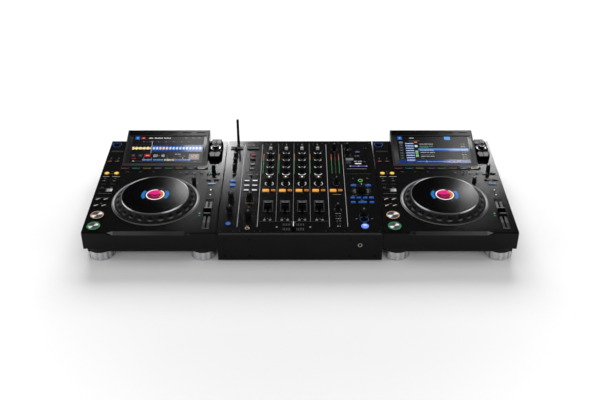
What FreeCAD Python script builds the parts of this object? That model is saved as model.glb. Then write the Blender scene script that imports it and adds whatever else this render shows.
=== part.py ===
import FreeCAD, Part

import os
import re

import Sketcher
from FreeCAD import Placement, Rotation, Vector

# A DJ console of three free-standing devices in a row: media player, four-channel mixer, media player.
# Millimetres.  +X runs along the row to the player's right, +Y from the front edge to the rear,
# +Z up.  The origin is on the table, under the middle of the console's box.
# Inside the functions, y is measured from the devices' front edge and x from the device's own middle.

SIZES = {
    # the row
    "device_gap": 2.7, "deck_top": 88, "wall": 3, "deck_skin": 3, "fit_play": 0.2, "key_play": 0.3,
    # jog wheel and the player's plan, which is built outwards from it
    "jog_ring_radius": 112.5, "jog_ring_width": 8.5, "jog_ring_rise": 2.5, "jog_rim_play": 1,
    "jog_ring_bevel": 1.5,
    "jog_wheel_rise": 15, "jog_wheel_lip": 3.5, "jog_wheel_drop": 8, "jog_plate_radius": 86.75,
    "jog_plate_thick": 3.5, "jog_slope_step": 1.75, "dimple_radius": 15, "dimple_depth": 2.6,
    "dimple_count": 24, "post_radius": 36, "post_play": 0.3, "post_recess": 0.3, "post_foot_radius": 56,
    "bearing_thick": 6, "bearing_width": 16, "bearing_play": 0.3, "jog_front": 29, "side_strip": 52,
    # player case, pan and feet
    "slab_height": 49, "front_bevel": 2.5, "lip_width": 204, "lip_drop": 8, "lip_depth": 6,
    "pan_step": 8, "pan_skin": 2, "pan_flange": 2, "foot_height": 25, "foot_radius": 34.4,
    "collar_rim": 0.8, "foot_inset": 36, "foot_front": 36.2, "pad_thick": 1.5, "pad_rim": 2.5,
    # display
    "display_length": 143.6, "display_tilt": 13, "display_overhang": 6.5, "display_side": 3.3,
    "display_back": 14, "display_heel": 4, "display_hollow": 30, "display_gap": 15,
    "screen_length": 112, "screen_start": 9, "screen_thick": 1.6, "screen_left": 5, "screen_right": 5,
    "screen_fit": 0.2,
    # selector pod
    "pod_width": 38, "pod_length": 102, "pod_rise": 13, "pod_gap": 0.6, "pod_front": 23, "pod_corner": 11,
    "selector_radius": 9.5, "selector_rise": 12,
    # shafts and knobs
    "shaft_radius": 3, "shaft_play": 0.1, "shaft_drop": 9, "knob_lift": 0.4,
    "small_knob_radius": 6, "vinyl_knob_rise": 19, "jog_knob_rise": 17, "jog_knob_gap": 10.6,
    "jog_knob_angle": 42.7,
    # keys: how far they stand above the deck, and reach below it
    "key_rise": 2.2, "key_drop": 5, "hot_cue_gap": 43, "hot_cue_pitch": 29.8, "hot_cue_width": 21,
    "hot_cue_depth": 9, "hot_cue_count": 8,
    "play_radius": 17, "play_rise": 4, "play_row": 24.5, "cue_row": 72, "play_inset": 26.7,
    # left column of the player
    "media_inset": 12.5, "media_pitch": 20.5, "media_row": 20, "media_width": 13, "media_depth": 6,
    "loop_inset": 15.5, "loop_pitch": 26, "loop_row": 26, "loop_radius": 7,
    "beat_row": 90.5, "beat_width": 12, "beat_depth": 6, "track_inset": 15.5, "track_pitch": 20,
    "track_row": 4, "search_row": 25, "track_width": 14, "track_depth": 8,
    "lever_inset": 27.5, "lever_row": 43.5, "lever_width": 36, "lever_depth": 16, "lever_thick": 6,
    "lever_rise": 3.5, "lever_play": 0.8, "lever_bar_radius": 2.5,
    "usb_inset": 16.5, "usb_row": 75, "usb_step": 37, "usb_width": 12.6, "usb_depth": 5.2,
    "usb_wall": 1.6, "usb_drop": 14, "usb_rise": 1, "sd_shift": 7, "sd_width": 28, "sd_depth": 4.6,
    # right column of the player
    "tempo_inset": 27, "tempo_centre": 75.25, "tempo_travel": 100, "tempo_offset": 8.75,
    "tempo_slot": 5, "tempo_end": 4, "tempo_cap_width": 19, "tempo_cap_length": 27, "tempo_cap_rise": 9,
    "fader_lift": 0.5, "stem_thick": 2.4, "stem_length": 6, "fader_stem_drop": 14, "track_wall": 3,
    "track_skin": 2,
    "tempo_key_width": 14.5, "tempo_key_depth": 7, "tempo_key_half": 10.5, "tempo_key_row": 27.5,
    "range_key_row": 58, "reset_key_row": 77.4, "reset_key_width": 22, "reset_key_depth": 6,
    "mode_key_radius": 4.2, "mode_key_row": 26, "mode_key_first": 48, "mode_key_second": 66,
    "mode_key_third": 87, "mode_key_fourth": 105.7, "vinyl_knob_row": 12.5,
    "master_key_inset": 46.5, "master_key_row": 79.7, "master_key_radius": 3,
    # mixer: widths of its sections from left to right
    "mic_width": 48.2, "phones_width": 49.9, "channel_pitch": 43.5, "channel_margin": 2.35,
    "master_width": 44.9, "effect_width": 85.7, "channel_count": 4,
    "mixer_floor": 4.5, "rear_margin": 5.5, "front_plate": 2, "front_lip": 7, "mixer_skin": 2.5,
    "divider_width": 1.2, "divider_rise": 0.4, "divider_front": 25, "divider_rear": 18.5,
    "mixer_foot_radius": 12, "mixer_foot_inset": 30, "base_thick": 2,
    # mixer controls
    "fader_centre": 111.5, "fader_travel": 60, "fader_slot": 4, "fader_end": 2, "fader_cap_width": 19,
    "fader_cap_length": 14, "fader_cap_rise": 12, "crossfader_row": 24, "crossfader_travel": 45,
    "crossfader_cap_width": 10, "crossfader_cap_length": 22, "fader_body_drop": 20,
    "eq_radius": 5.6, "eq_rise": 18, "eq_skirt": 2.6, "skirt_rise": 3, "knob_taper": 0.7,
    "trim_row": 55, "high_row": 92, "mid_row": 129, "low_row": 165, "colour_row": 217,
    "colour_radius": 7,
    "cue_key_row": 252.5, "cue_key_width": 17, "cue_key_depth": 11, "cue_key_left": 8.2,
    "cue_key_right": 11.3, "link_key_width": 11, "link_key_depth": 9,
    "mic_column": 25.7, "mic_knob_pitch": 30, "mic_knob_row": 58, "mic_knob_count": 4,
    "mic_knob_radius": 5, "mic_key_row": 206, "mic_key_pitch": 22, "mic_key_width": 15,
    "mic_key_depth": 9, "big_knob_radius": 7.5, "upper_knob_row": 150, "lower_knob_row": 90,
    "send_key_row": 36, "send_key_radius": 7.5,
    "phones_column": 25.5, "phones_key_row": 74, "phones_key_pitch": 24, "phones_key_count": 4,
    "phones_key_width": 14, "phones_key_depth": 7, "colour_key_row": 204, "colour_key_pitch": 23,
    "colour_key_half": 10.75, "colour_key_width": 14, "colour_key_depth": 8, "phones_knob_row": 68,
    "jack_radius": 3.2, "jack_body": 6, "jack_rise": 1, "jack_depth": 30, "jack_end": 2,
    "jack_row": 18, "front_jack_x": 148, "front_jack_z": 50,
    "master_column": 22.9, "master_knob_row": 41, "balance_row": 215, "booth_row": 100,
    "master_key_half": 9.35,
    "effect_column": 42.5, "send_knob_left": 28, "send_knob_row": 38, "send_knob_pitch": 37,
    "mixer_screen_left": 36, "mixer_screen_right": 31, "mixer_screen_row": 116,
    "mixer_screen_depth": 62, "mixer_screen_rise": 1.2, "mixer_screen_sink": 1.5,
    "beat_key_row": 228.6, "beat_key_half": 19.5, "beat_key_width": 15, "beat_key_depth": 7,
    "beat_selector_row": 187, "beat_selector_radius": 11, "beat_selector_rise": 18,
    "grid_row": 153, "grid_pitch": 16, "grid_row_pitch": 21, "grid_width": 12, "grid_depth": 7,
    "grid_wide_key": 22, "depth_knob_row": 75, "effect_on_row": 27, "effect_on_radius": 9.2,
    "tap_key_row": 58,
    "switch_width": 9, "switch_depth": 5, "switch_rise": 4, "switch_step": 17, "mic_switch_row": 179,
    "phones_switch_row": 184, "mixer_switch_right": 22, "master_switch_row": 36, "assign_row": 54.5,
    # antenna
    "antenna_inset": 27.7, "antenna_height": 80, "antenna_length": 75.2, "antenna_radius": 3.8,
    "antenna_tip": 3.6, "antenna_gap": 0.4, "antenna_offset": 4.4, "antenna_pin_radius": 2.5,
    "antenna_pin_play": 0.1,
    # screws
    "screw_head_radius": 3, "screw_head_thick": 1.2, "screw_shank_radius": 1.5,
    "screw_length": 8, "screw_edge": 17.4, "screw_step": 62.3, "screw_low": 12.7,
    "screw_high": 63, "pan_screw_x": 75, "pan_screw_inset": 60,
    # inside and behind
    "boss_radius": 5, "boss_height": 6, "board_thick": 1.6, "board_margin": 30, "board_length": 70,
    "supply_width": 90, "supply_length": 55, "supply_height": 20, "supply_gap": 12,
    "board_gap": 6, "inlet_width": 28, "inlet_height": 21, "socket_depth": 18, "socket_wall": 2,
    "socket_floor": 3, "socket_rise": 1, "inlet_inset": 60, "socket_mid": 64, "link_width": 16,
    "link_inset": 100, "link_height": 13, "rca_radius": 4.15, "rca_reach": 9, "rca_hole": 1.6,
    "rca_flange": 6, "rca_flange_thick": 1, "rca_pitch": 18, "rca_pairs": 5, "rca_pair_pitch": 36,
    "rca_first": 60, "player_rca_inset": 130,
}

document = FreeCAD.newDocument("dj_console")
sheet = document.addObject("Spreadsheet::Sheet", "sizes")
for row, (name, size) in enumerate(SIZES.items(), start=1):
    sheet.set(f"A{row}", name)
    sheet.set(f"B{row}", str(size))
    sheet.setAlias(f"B{row}", name)
document.recompute()

# Lengths that follow from the sheet.
JOG_RADIUS = "(jog_ring_radius - jog_ring_width)"
WHEEL_RADIUS = "(jog_ring_radius - jog_ring_width - jog_rim_play)"
WHEEL_BORE = "(post_radius + post_play)"
HALF_PLAYER = "(jog_ring_radius + side_strip)"
JOG_Y = "(jog_front + jog_ring_radius)"
HOT_CUE_Y = "(jog_front + 2 * jog_ring_radius + hot_cue_gap)"
DISPLAY_Y = f"({HOT_CUE_Y} + display_gap)"
DEPTH = f"({DISPLAY_Y} + display_length * cos(display_tilt) - display_overhang)"
DISPLAY_REAR = f"({DEPTH} + display_overhang)"
OVERALL_DEPTH = f"({DEPTH} + rca_reach)"
SLAB_BOTTOM = "(deck_top - slab_height)"
HALF_DISPLAY = "(jog_ring_radius + display_side)"
TEMPO_X = f"({HALF_PLAYER} - tempo_inset)"
TEMPO_REST = "(tempo_centre + tempo_offset)"
POD_X = f"({HALF_DISPLAY} + pod_gap + pod_width / 2)"
POD_Y = f"({DISPLAY_Y} + pod_front + pod_length / 2)"
PAN_FLOOR = "(foot_height + pan_skin)"
MIXER_WIDTH = ("(mic_width + phones_width + channel_count * channel_pitch + 2 * channel_margin"
               " + master_width + effect_width)")
MIXER_LEFT = f"(-{MIXER_WIDTH} / 2)"
PHONES_LEFT = f"({MIXER_LEFT} + mic_width)"
CHANNELS_LEFT = f"({PHONES_LEFT} + phones_width)"
MASTER_LEFT = f"({CHANNELS_LEFT} + channel_count * channel_pitch + 2 * channel_margin)"
EFFECT_LEFT = f"({MASTER_LEFT} + master_width)"
MIC_X = f"({MIXER_LEFT} + mic_column)"
PHONES_X = f"({PHONES_LEFT} + phones_column)"
MASTER_X = f"({MASTER_LEFT} + master_column)"
EFFECT_X = f"({EFFECT_LEFT} + effect_column)"
CROSSFADER_X = f"({CHANNELS_LEFT} + channel_margin + channel_count * channel_pitch / 2)"
PLAYER_X = f"({MIXER_WIDTH} / 2 + device_gap + {HALF_PLAYER})"
ANTENNA_X = f"({MIXER_LEFT} + antenna_inset)"


def bound(text):
    """The expression with each named size read from the sheet."""
    return re.sub(r"[a-z_]+", lambda word: "sizes." + word[0] if word[0] in SIZES else word[0], str(text))


def value(text):
    """The expression's present value."""
    return float(sheet.evalExpression(bound(text)))


# ---- Part primitives, placed by expressions -------------------------------------------------------
def place(item, x, y, z):
    for axis, text in zip("xyz", (x, y, z)):
        item.setExpression("Placement.Base." + axis, bound(text))
    return item


def block(x, y, z, wide, deep, tall):
    """A box centred on x and y that stands on z."""
    item = document.addObject("Part::Box", "block")
    for side, text in (("Length", wide), ("Width", deep), ("Height", tall)):
        item.setExpression(side, bound(text))
    return place(item, f"({x}) - ({wide}) / 2", f"({y}) - ({deep}) / 2", z)


def disc(x, y, z, radius, tall):
    """A cylinder that stands on z."""
    item = document.addObject("Part::Cylinder", "disc")
    item.setExpression("Radius", bound(radius))
    item.setExpression("Height", bound(tall))
    return place(item, x, y, z)


def taper(x, y, z, low_radius, high_radius, tall):
    item = document.addObject("Part::Cone", "taper")
    item.setExpression("Radius1", bound(low_radius))
    item.setExpression("Radius2", bound(high_radius))
    item.setExpression("Height", bound(tall))
    return place(item, x, y, z)


def rearward(x, y, z, radius, length):
    """A cylinder along +Y from y."""
    item = disc(x, y, z, radius, length)
    item.Placement.Rotation = Rotation(Vector(1, 0, 0), -90)
    return item


def fuse(*pieces):
    item = document.addObject("Part::MultiFuse", "fuse")
    item.Shapes = list(pieces)
    return item


def group(pieces):
    item = document.addObject("Part::Compound", "group")
    item.Links = list(pieces)
    return item


def cut(base, *tools):
    """Each tool, or list of tools that are clear of each other, is cut away in turn."""
    for tool in tools:
        item = document.addObject("Part::Cut", "cut")
        item.Base = base
        item.Tool = group(tool) if isinstance(tool, list) else tool
        base = item
    return base


# ---- PartDesign bodies ------------------------------------------------------------------------------
def new_body(name):
    return document.addObject("PartDesign::Body", name)


def origin_feature(body, role):
    return next(item for item in body.Origin.OriginFeatures if item.Role == role)


def outline(body, role, points):
    """A closed sketch through the points, each held by its own distances from the origin."""
    sketch = body.newObject("Sketcher::SketchObject", "outline")
    sketch.AttachmentSupport = (origin_feature(body, role), [""])
    sketch.MapMode = "FlatFace"
    corners = [Vector(value(x), value(y), 0) for x, y in points]
    for start, end in zip(corners, corners[1:] + corners[:1]):
        sketch.addGeometry(Part.LineSegment(start, end), False)
    for index in range(len(corners)):
        following = (index + 1) % len(corners)
        sketch.addConstraint(Sketcher.Constraint("Coincident", index, 2, following, 1))
    for index, (corner, texts) in enumerate(zip(corners, points)):
        for kind, length, text in zip(("DistanceX", "DistanceY"), corner, texts):
            number = sketch.addConstraint(Sketcher.Constraint(kind, -1, 1, index, 1, length))
            sketch.setExpression(f"Constraints[{number}]", bound(text))
    return sketch


def pad(body, points, length, role="YZ_Plane"):
    """The outline, padded to both sides of its plane."""
    feature = body.newObject("PartDesign::Pad", "pad")
    feature.Profile = outline(body, role, points)
    feature.setExpression("Length", bound(length))
    feature.Midplane = True
    return body


def pocket(body, points, length, role="YZ_Plane"):
    """The outline, cut to both sides of its plane."""
    feature = body.newObject("PartDesign::Pocket", "pocket")
    feature.Profile = outline(body, role, points)
    feature.setExpression("Length", bound(length))
    feature.Midplane = True
    return body


def turned(name, points):
    """A body of revolution about Z from its radius and height pairs."""
    body = new_body(name)
    feature = body.newObject("PartDesign::Revolution", "turn")
    feature.Profile = outline(body, "XZ_Plane", points)
    feature.ReferenceAxis = (origin_feature(body, "Z_Axis"), [""])
    feature.Angle = 360
    return body


# ---- finished sub-parts --------------------------------------------------------------------------------
PARTS = []


def finish(item, label, x="0"):
    """Names a sub-part, and moves it from its device's place to the console's."""
    item.Label = label
    place(item, x, f"-{OVERALL_DEPTH} / 2", "0")
    PARTS.append(item)
    return item


def at_both_players(make):
    """One copy of a piece for each player, still measured from the front edge."""
    return [place(group([make()]), f"{side} * {PLAYER_X}", "0", "0") for side in (-1, 1)]


# ---- shared shapes ---------------------------------------------------------------------------------------
class Key:
    """A push key that stands through the deck: its cap and the hole it travels in."""

    def __init__(self, x, y, wide, deep=None, rise="key_rise"):
        self.x, self.y, self.wide, self.deep, self.rise = x, y, wide, deep, rise

    def cap(self):
        low = "deck_top - key_drop"
        tall = f"key_drop + {self.rise}"
        if self.deep is None:
            return disc(self.x, self.y, low, self.wide, tall)
        return block(self.x, self.y, low, self.wide, self.deep, tall)

    def hole(self, skin):
        low = f"deck_top - {skin} - 1"
        tall = f"{skin} + 2"
        if self.deep is None:
            return disc(self.x, self.y, low, f"{self.wide} + key_play", tall)
        return block(self.x, self.y, low, f"{self.wide} + 2 * key_play", f"{self.deep} + 2 * key_play",
                     tall)


def shaft_hole(x, y, skin, top="deck_top"):
    return disc(x, y, f"{top} - {skin} - 1", "shaft_radius + shaft_play", f"{skin} + 2")


def turning_knob(x, y, radius, rise, top="deck_top", drop="shaft_drop"):
    """A knob on its shaft: skirt, tapered grip and the shaft through the panel."""
    return fuse(disc(x, y, f"{top} - ({drop})", "shaft_radius", f"{drop} + {rise} / 2"),
                disc(x, y, f"{top} + knob_lift", radius, "skirt_rise"),
                taper(x, y, f"{top} + knob_lift", f"{radius} - knob_taper / 2",
                      f"{radius} - knob_taper", f"{rise} - knob_lift"))


def dial(x, y, radius, rise="eq_rise"):
    """A small knob seated on the mixer's panel: flared skirt and tapered grip."""
    return fuse(taper(x, y, "deck_top", f"{radius} + eq_skirt / 2", radius, "skirt_rise"),
                taper(x, y, "deck_top", radius, f"{radius} - knob_taper", rise))


def fader(x, y, cap_width, cap_length, cap_rise, stem_wide="stem_thick", stem_deep="stem_length"):
    """A fader cap with the flat stem that carries it in its slot."""
    return fuse(block(x, y, "deck_top - fader_stem_drop", stem_wide, stem_deep,
                      f"fader_stem_drop + {cap_rise} / 2"),
                block(x, y, "deck_top + fader_lift", cap_width, cap_length, f"{cap_rise} - fader_lift"))


def fader_unit(x, y, skin, wide, deep, groove_wide, groove_deep):
    """The sliding resistor under a slot, screwed up against the panel, with its groove for the stem."""
    top = f"deck_top - {skin}"
    return cut(block(x, y, f"{top} - fader_body_drop", wide, deep, "fader_body_drop"),
               block(x, y, f"{top} - fader_body_drop + track_skin", groove_wide, groove_deep,
                     "fader_body_drop"))


# ---- the media player ------------------------------------------------------------------------------------
LEFT_EDGE = f"(-{HALF_PLAYER})"
HOT_CUES = [Key(f"({number} - (hot_cue_count - 1) / 2) * hot_cue_pitch", HOT_CUE_Y, "hot_cue_width",
                "hot_cue_depth") for number in range(SIZES["hot_cue_count"])]


def left_column(inset, pitch):
    """The two places of a pair of keys in the column left of the jog wheel."""
    return f"({LEFT_EDGE} + {inset})", f"({LEFT_EDGE} + {inset} + {pitch})"


def deck_keys():
    """The small keys left and right of the jog wheel."""
    keys = [Key(x, f"{DISPLAY_Y} + media_row", "media_width", "media_depth")
            for x in left_column("media_inset", "media_pitch")]
    keys += [Key(x, f"{HOT_CUE_Y} - loop_row", "loop_radius")
             for x in left_column("loop_inset", "loop_pitch")]
    keys += [Key(x, f"{JOG_Y} + beat_row", "beat_width", "beat_depth")
             for x in left_column("loop_inset", "loop_pitch")]
    for row in ("+ track_row", "- search_row"):
        keys += [Key(x, f"{JOG_Y} {row}", "track_width", "track_depth")
                 for x in left_column("track_inset", "track_pitch")]
    for side in ("-", "+"):
        for row in ("tempo_key_row", "range_key_row"):
            keys.append(Key(f"({TEMPO_X} {side} tempo_key_half)", f"{HOT_CUE_Y} - {row}",
                            "tempo_key_width", "tempo_key_depth"))
    keys.append(Key(TEMPO_X, f"{HOT_CUE_Y} - reset_key_row", "reset_key_width", "reset_key_depth"))
    for number in ("first", "second", "third", "fourth"):
        keys.append(Key(f"mode_key_{number}", f"{HOT_CUE_Y} - mode_key_row", "mode_key_radius"))
    keys.append(Key(f"({HALF_PLAYER} - master_key_inset)", "master_key_row", "master_key_radius"))
    return keys


PLAY_X = f"({LEFT_EDGE} + play_inset)"
PLAY = Key(PLAY_X, "play_row", "play_radius", rise="play_rise")
CUE = Key(PLAY_X, "cue_row", "play_radius", rise="play_rise")
LEVER = (f"({LEFT_EDGE} + lever_inset)", f"({JOG_Y} + lever_row)")
JOG_KNOB = ("(jog_ring_radius + jog_knob_gap) * cos(jog_knob_angle)",
            f"({JOG_Y} + (jog_ring_radius + jog_knob_gap) * sin(jog_knob_angle))")
VINYL_KNOB = (TEMPO_X, f"({HOT_CUE_Y} - vinyl_knob_row)")
USB = (f"({LEFT_EDGE} + usb_inset)", f"({DISPLAY_Y} + usb_row + usb_step)")
SD = (f"({LEFT_EDGE} + usb_inset + sd_shift)", f"({DISPLAY_Y} + usb_row)")


def jog_shape(turned_body):
    """A piece turned about the jog wheel's axis, brought over its place on the deck."""
    turned_body.setExpression("Placement.Base.y", bound(JOG_Y))
    return turned_body


def player_case(label, x):
    """The upper shell: bevelled slab, hollow underneath, open for every control."""
    body = pad(new_body("slab"), [("0", SLAB_BOTTOM), ("0", "deck_top - front_bevel"),
                                  ("front_bevel", "deck_top"), (DEPTH, "deck_top"),
                                  (DEPTH, SLAB_BOTTOM)], f"2 * {HALF_PLAYER}")
    pocket(body, [("-1", "deck_top - lip_drop"), ("0", "deck_top - lip_drop"),
                  ("lip_depth", "deck_top"), ("lip_depth", "deck_top + 1"), ("-1", "deck_top + 1")],
           "lip_width")
    inside = block("0", f"{DEPTH} / 2", f"{SLAB_BOTTOM} - 1", f"2 * ({HALF_PLAYER} - wall)",
                   f"{DEPTH} - 2 * wall", "slab_height - deck_skin + 1")
    slot = block(TEMPO_X, "tempo_centre", "deck_top - deck_skin - 1", "tempo_slot",
                 "tempo_travel + stem_length + tempo_end", "deck_skin + 2")
    lever = block(*LEVER, "deck_top - deck_skin - 1", "lever_width + 2 * lever_play",
                  "lever_depth + 2 * lever_play", "deck_skin + 2")
    usb = block(*USB, "deck_top - deck_skin - 1", "usb_width + 2 * usb_wall",
                "usb_depth + 2 * usb_wall", "deck_skin + 2")
    card = block(*SD, "deck_top - deck_skin - 1", "sd_width", "sd_depth", "deck_skin + 2")
    jog = disc("0", JOG_Y, "deck_top - deck_skin - 1", JOG_RADIUS, "deck_skin + 2")
    holes = [key.hole("deck_skin") for key in HOT_CUES + deck_keys() + [PLAY, CUE]]
    shafts = [shaft_hole(*JOG_KNOB, "deck_skin"), shaft_hole(*VINYL_KNOB, "deck_skin"),
              shaft_hole(POD_X, POD_Y, "deck_skin")]
    return finish(cut(body, inside, holes + shafts + [slot, lever, usb, card, jog],
                      rear_cutouts(player_sockets())), label, x)


def player_pan():
    """The recessed lower tray: flange inside the case, tub, foot collars and board bosses."""
    wide = f"2 * ({HALF_PLAYER} - pan_step)"
    deep = f"({DEPTH} - 2 * pan_step)"
    tub = block("0", f"{DEPTH} / 2", "foot_height", wide, deep,
                f"{SLAB_BOTTOM} + pan_flange - foot_height")
    flange = block("0", f"{DEPTH} / 2", SLAB_BOTTOM, f"2 * ({HALF_PLAYER} - wall - fit_play)",
                   f"{DEPTH} - 2 * (wall + fit_play)", "pan_flange")
    collars = [disc(x, y, "foot_height", "foot_radius + collar_rim",
                    f"{SLAB_BOTTOM} - foot_height") for x, y in foot_places()]
    hollow = block("0", f"{DEPTH} / 2", PAN_FLOOR, f"{wide} - 2 * pan_skin", f"{deep} - 2 * pan_skin",
                   f"{SLAB_BOTTOM} + pan_flange - foot_height")
    bosses = [disc(x, y, PAN_FLOOR, "boss_radius", "boss_height") for x, y in board_corners()]
    screws = [disc(x, y, "foot_height - 1", "screw_shank_radius", "pan_skin + 2") for x, y in pan_screws()]
    return cut(fuse(cut(fuse(tub, flange, *collars), hollow), *bosses), screws)


def foot_places():
    return [(f"{side} * ({HALF_PLAYER} - foot_inset)", y) for side in (-1, 1)
            for y in ("foot_front", f"({DEPTH} - foot_front)")]


def board_corners():
    """The bosses under the four corners of the main board, behind the jog wheel's post."""
    return [(f"{side} * ({HALF_PLAYER} - board_margin - boss_radius)", f"({BOARD_Y} {end} "
             "(board_length / 2 - boss_radius))") for side in (-1, 1) for end in ("-", "+")]


BOARD_Y = f"({JOG_Y} + post_foot_radius + board_gap + board_length / 2)"


def pan_screws():
    return [(f"{side} * pan_screw_x", y) for side in (-1, 1)
            for y in ("pan_screw_inset", f"({DEPTH} - pan_screw_inset)")]


def player_sockets():
    """Places along the rear wall: power inlet and link socket."""
    return [(f"({HALF_PLAYER} - inlet_inset)", "inlet_width", "inlet_height"),
            (f"({HALF_PLAYER} - link_inset)", "link_width", "link_height")]


def rear_cutouts(sockets):
    """Openings through the rear wall for the given sockets."""
    return [block(x, f"{DEPTH} - wall / 2", f"socket_mid - {tall} / 2", wide, "wall + 2", tall)
            for x, wide, tall in sockets]


def rear_socket(x, wide, tall):
    """A socket body seated in the rear wall, open to the rear."""
    middle = f"{DEPTH} + socket_rise - socket_depth / 2"
    return cut(block(x, middle, f"socket_mid - {tall} / 2", wide, "socket_depth", tall),
               block(x, f"{middle} + socket_floor", f"socket_mid - {tall} / 2 + socket_wall",
                     f"{wide} - 2 * socket_wall", "socket_depth", f"{tall} - 2 * socket_wall"))


def rca_jack(x, z):
    """A round jack screwed to the rear wall: flange, barrel and centre hole."""
    return cut(fuse(rearward(x, DEPTH, z, "rca_flange", "rca_flange_thick"),
                    rearward(x, DEPTH, z, "rca_radius", "rca_reach")),
               rearward(x, f"{DEPTH} + rca_flange_thick", z, "rca_hole", "rca_reach"))


def display_housing(label, x):
    """The wedge that holds the display, tilted towards the player, overhanging the rear wall."""
    climb = "display_length * sin(display_tilt)"
    hollow = (f"({DISPLAY_Y} + display_hollow)", f"({DEPTH} - display_heel - wall)")
    body = pad(new_body("wedge"), [(DISPLAY_Y, "deck_top"), (DISPLAY_REAR, f"deck_top + {climb}"),
                                   (DISPLAY_REAR, f"deck_top + {climb} - display_back"),
                                   (f"{DEPTH} - display_heel", "deck_top")], f"2 * {HALF_DISPLAY}")
    ceiling = [f"deck_top + ({y} - {DISPLAY_Y}) * tan(display_tilt)"
               " - (screen_thick + wall) / cos(display_tilt)" for y in hollow]
    pocket(body, [(hollow[0], "deck_top - 1"), (hollow[0], ceiling[0]), (hollow[1], ceiling[1]),
                  (hollow[1], "deck_top - 1")], f"2 * ({HALF_DISPLAY} - wall)")
    recess = tilted("screen_start", "-screen_thick", "screen_left", "screen_right", "screen_length",
                    "screen_thick + 1")
    return finish(cut(body, recess), label, x)


def tilted(start, lift, left, right, length, thick):
    """A slab parallel to the display's face: start is measured up the slope, lift off the face."""
    item = document.addObject("Part::Box", "slab")
    for side, text in (("Length", f"2 * {HALF_DISPLAY} - ({left}) - ({right})"), ("Width", length),
                       ("Height", thick)):
        item.setExpression(side, bound(text))
    item.Placement.Rotation = Rotation(Vector(1, 0, 0), 1)
    item.setExpression("Placement.Rotation.Angle", bound("display_tilt"))
    return place(item, f"{left} - {HALF_DISPLAY}",
                 f"{DISPLAY_Y} + ({start}) * cos(display_tilt) - ({lift}) * sin(display_tilt)",
                 f"deck_top + ({start}) * sin(display_tilt) + ({lift}) * cos(display_tilt)")


def display_screen():
    """The glass with its panel, seated in the housing's recess."""
    return tilted("screen_start + screen_fit", "-screen_thick", "screen_left + screen_fit",
                  "screen_right + screen_fit", "screen_length - 2 * screen_fit", "screen_thick")


def selector_pod():
    """The raised eight-sided block that carries the selector."""
    base = block(POD_X, POD_Y, "deck_top", "pod_width", "pod_length", "pod_rise")
    corners = []
    for side in (-1, 1):
        for end in (-1, 1):
            corner = document.addObject("Part::Box", "corner")
            for edge in ("Length", "Width"):
                corner.setExpression(edge, bound("2 * pod_corner"))
            corner.setExpression("Height", bound("pod_rise + 2"))
            corner.Placement.Rotation = Rotation(Vector(0, 0, 1), 45)
            corners.append(place(corner, f"{POD_X} + {side} * pod_width / 2",
                                 f"{POD_Y} + {end} * pod_length / 2 - sqrt(2) * pod_corner",
                                 "deck_top - 1"))
    return cut(base, corners, shaft_hole(POD_X, POD_Y, "pod_rise", top="(deck_top + pod_rise)"))


def jog_ring():
    return jog_shape(turned("trim", [(JOG_RADIUS, "deck_top"), ("jog_ring_radius", "deck_top"),
                                     ("jog_ring_radius - jog_ring_bevel", "deck_top + jog_ring_rise"),
                                     (JOG_RADIUS, "deck_top + jog_ring_rise")]))


def jog_wheel(label, x):
    """The wheel: dimpled sloping rim round a flat top, turning about the fixed post."""
    low, lip, top = "deck_top - jog_wheel_drop", "deck_top + jog_wheel_lip", "deck_top + jog_wheel_rise"
    inner = "jog_plate_radius + jog_slope_step"
    body = turned("wheel", [(WHEEL_BORE, low), (WHEEL_RADIUS, low), (WHEEL_RADIUS, lip), (inner, top),
                            (WHEEL_BORE, top)])
    dimple = body.newObject("PartDesign::SubtractiveSphere", "dimple")
    dimple.AttachmentSupport = (origin_feature(body, "XY_Plane"), [""])
    dimple.MapMode = "FlatFace"
    dimple.setExpression("Radius", bound("dimple_radius"))
    reach = f"({WHEEL_RADIUS} + {inner}) / 2"
    slope = f"atan(({WHEEL_RADIUS} - {inner}) / (jog_wheel_rise - jog_wheel_lip))"
    lift = "(dimple_radius - dimple_depth)"
    dimple.setExpression("AttachmentOffset.Base.x", bound(f"{reach} + {lift} * cos({slope})"))
    dimple.setExpression("AttachmentOffset.Base.z", bound(
        f"deck_top + (jog_wheel_rise + jog_wheel_lip) / 2 + {lift} * sin({slope})"))
    pattern = body.newObject("PartDesign::PolarPattern", "dimples")
    pattern.Originals = [dimple]
    pattern.Axis = (origin_feature(body, "Z_Axis"), [""])
    pattern.Angle = 360
    pattern.setExpression("Occurrences", bound("dimple_count"))
    body.Tip = pattern
    return finish(group([jog_shape(body)]), label, x)


def jog_plate(label, x):
    """The flat touch plate on top of the wheel."""
    top = "deck_top + jog_wheel_rise"
    return finish(group([jog_shape(turned("plate", [
        (WHEEL_BORE, top), ("jog_plate_radius", top), ("jog_plate_radius", f"{top} + jog_plate_thick"),
        (WHEEL_BORE, f"{top} + jog_plate_thick")]))]), label, x)


BEARING_TOP = "(deck_top - jog_wheel_drop - bearing_play)"


def jog_display():
    """The fixed hollow post through the wheel: round display on its top, shelf for the bearing."""
    shelf = f"({BEARING_TOP} - bearing_thick)"
    top = "deck_top + jog_wheel_rise + jog_plate_thick - post_recess"
    return jog_shape(turned("post", [
        ("post_radius - wall", PAN_FLOOR), ("post_radius", PAN_FLOOR), ("post_radius", f"{shelf} - wall"),
        ("post_foot_radius", f"{shelf} - wall"), ("post_foot_radius", shelf), ("post_radius", shelf),
        ("post_radius", top), ("0", top), ("0", f"{top} - wall"), ("post_radius - wall", f"{top} - wall")]))


def jog_bearing():
    """The ring that the wheel runs on."""
    low = f"{BEARING_TOP} - bearing_thick"
    inner, outer = "post_radius + fit_play", "post_radius + fit_play + bearing_width"
    return jog_shape(turned("bearing", [(inner, low), (outer, low), (outer, BEARING_TOP),
                                        (inner, BEARING_TOP)]))


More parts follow.
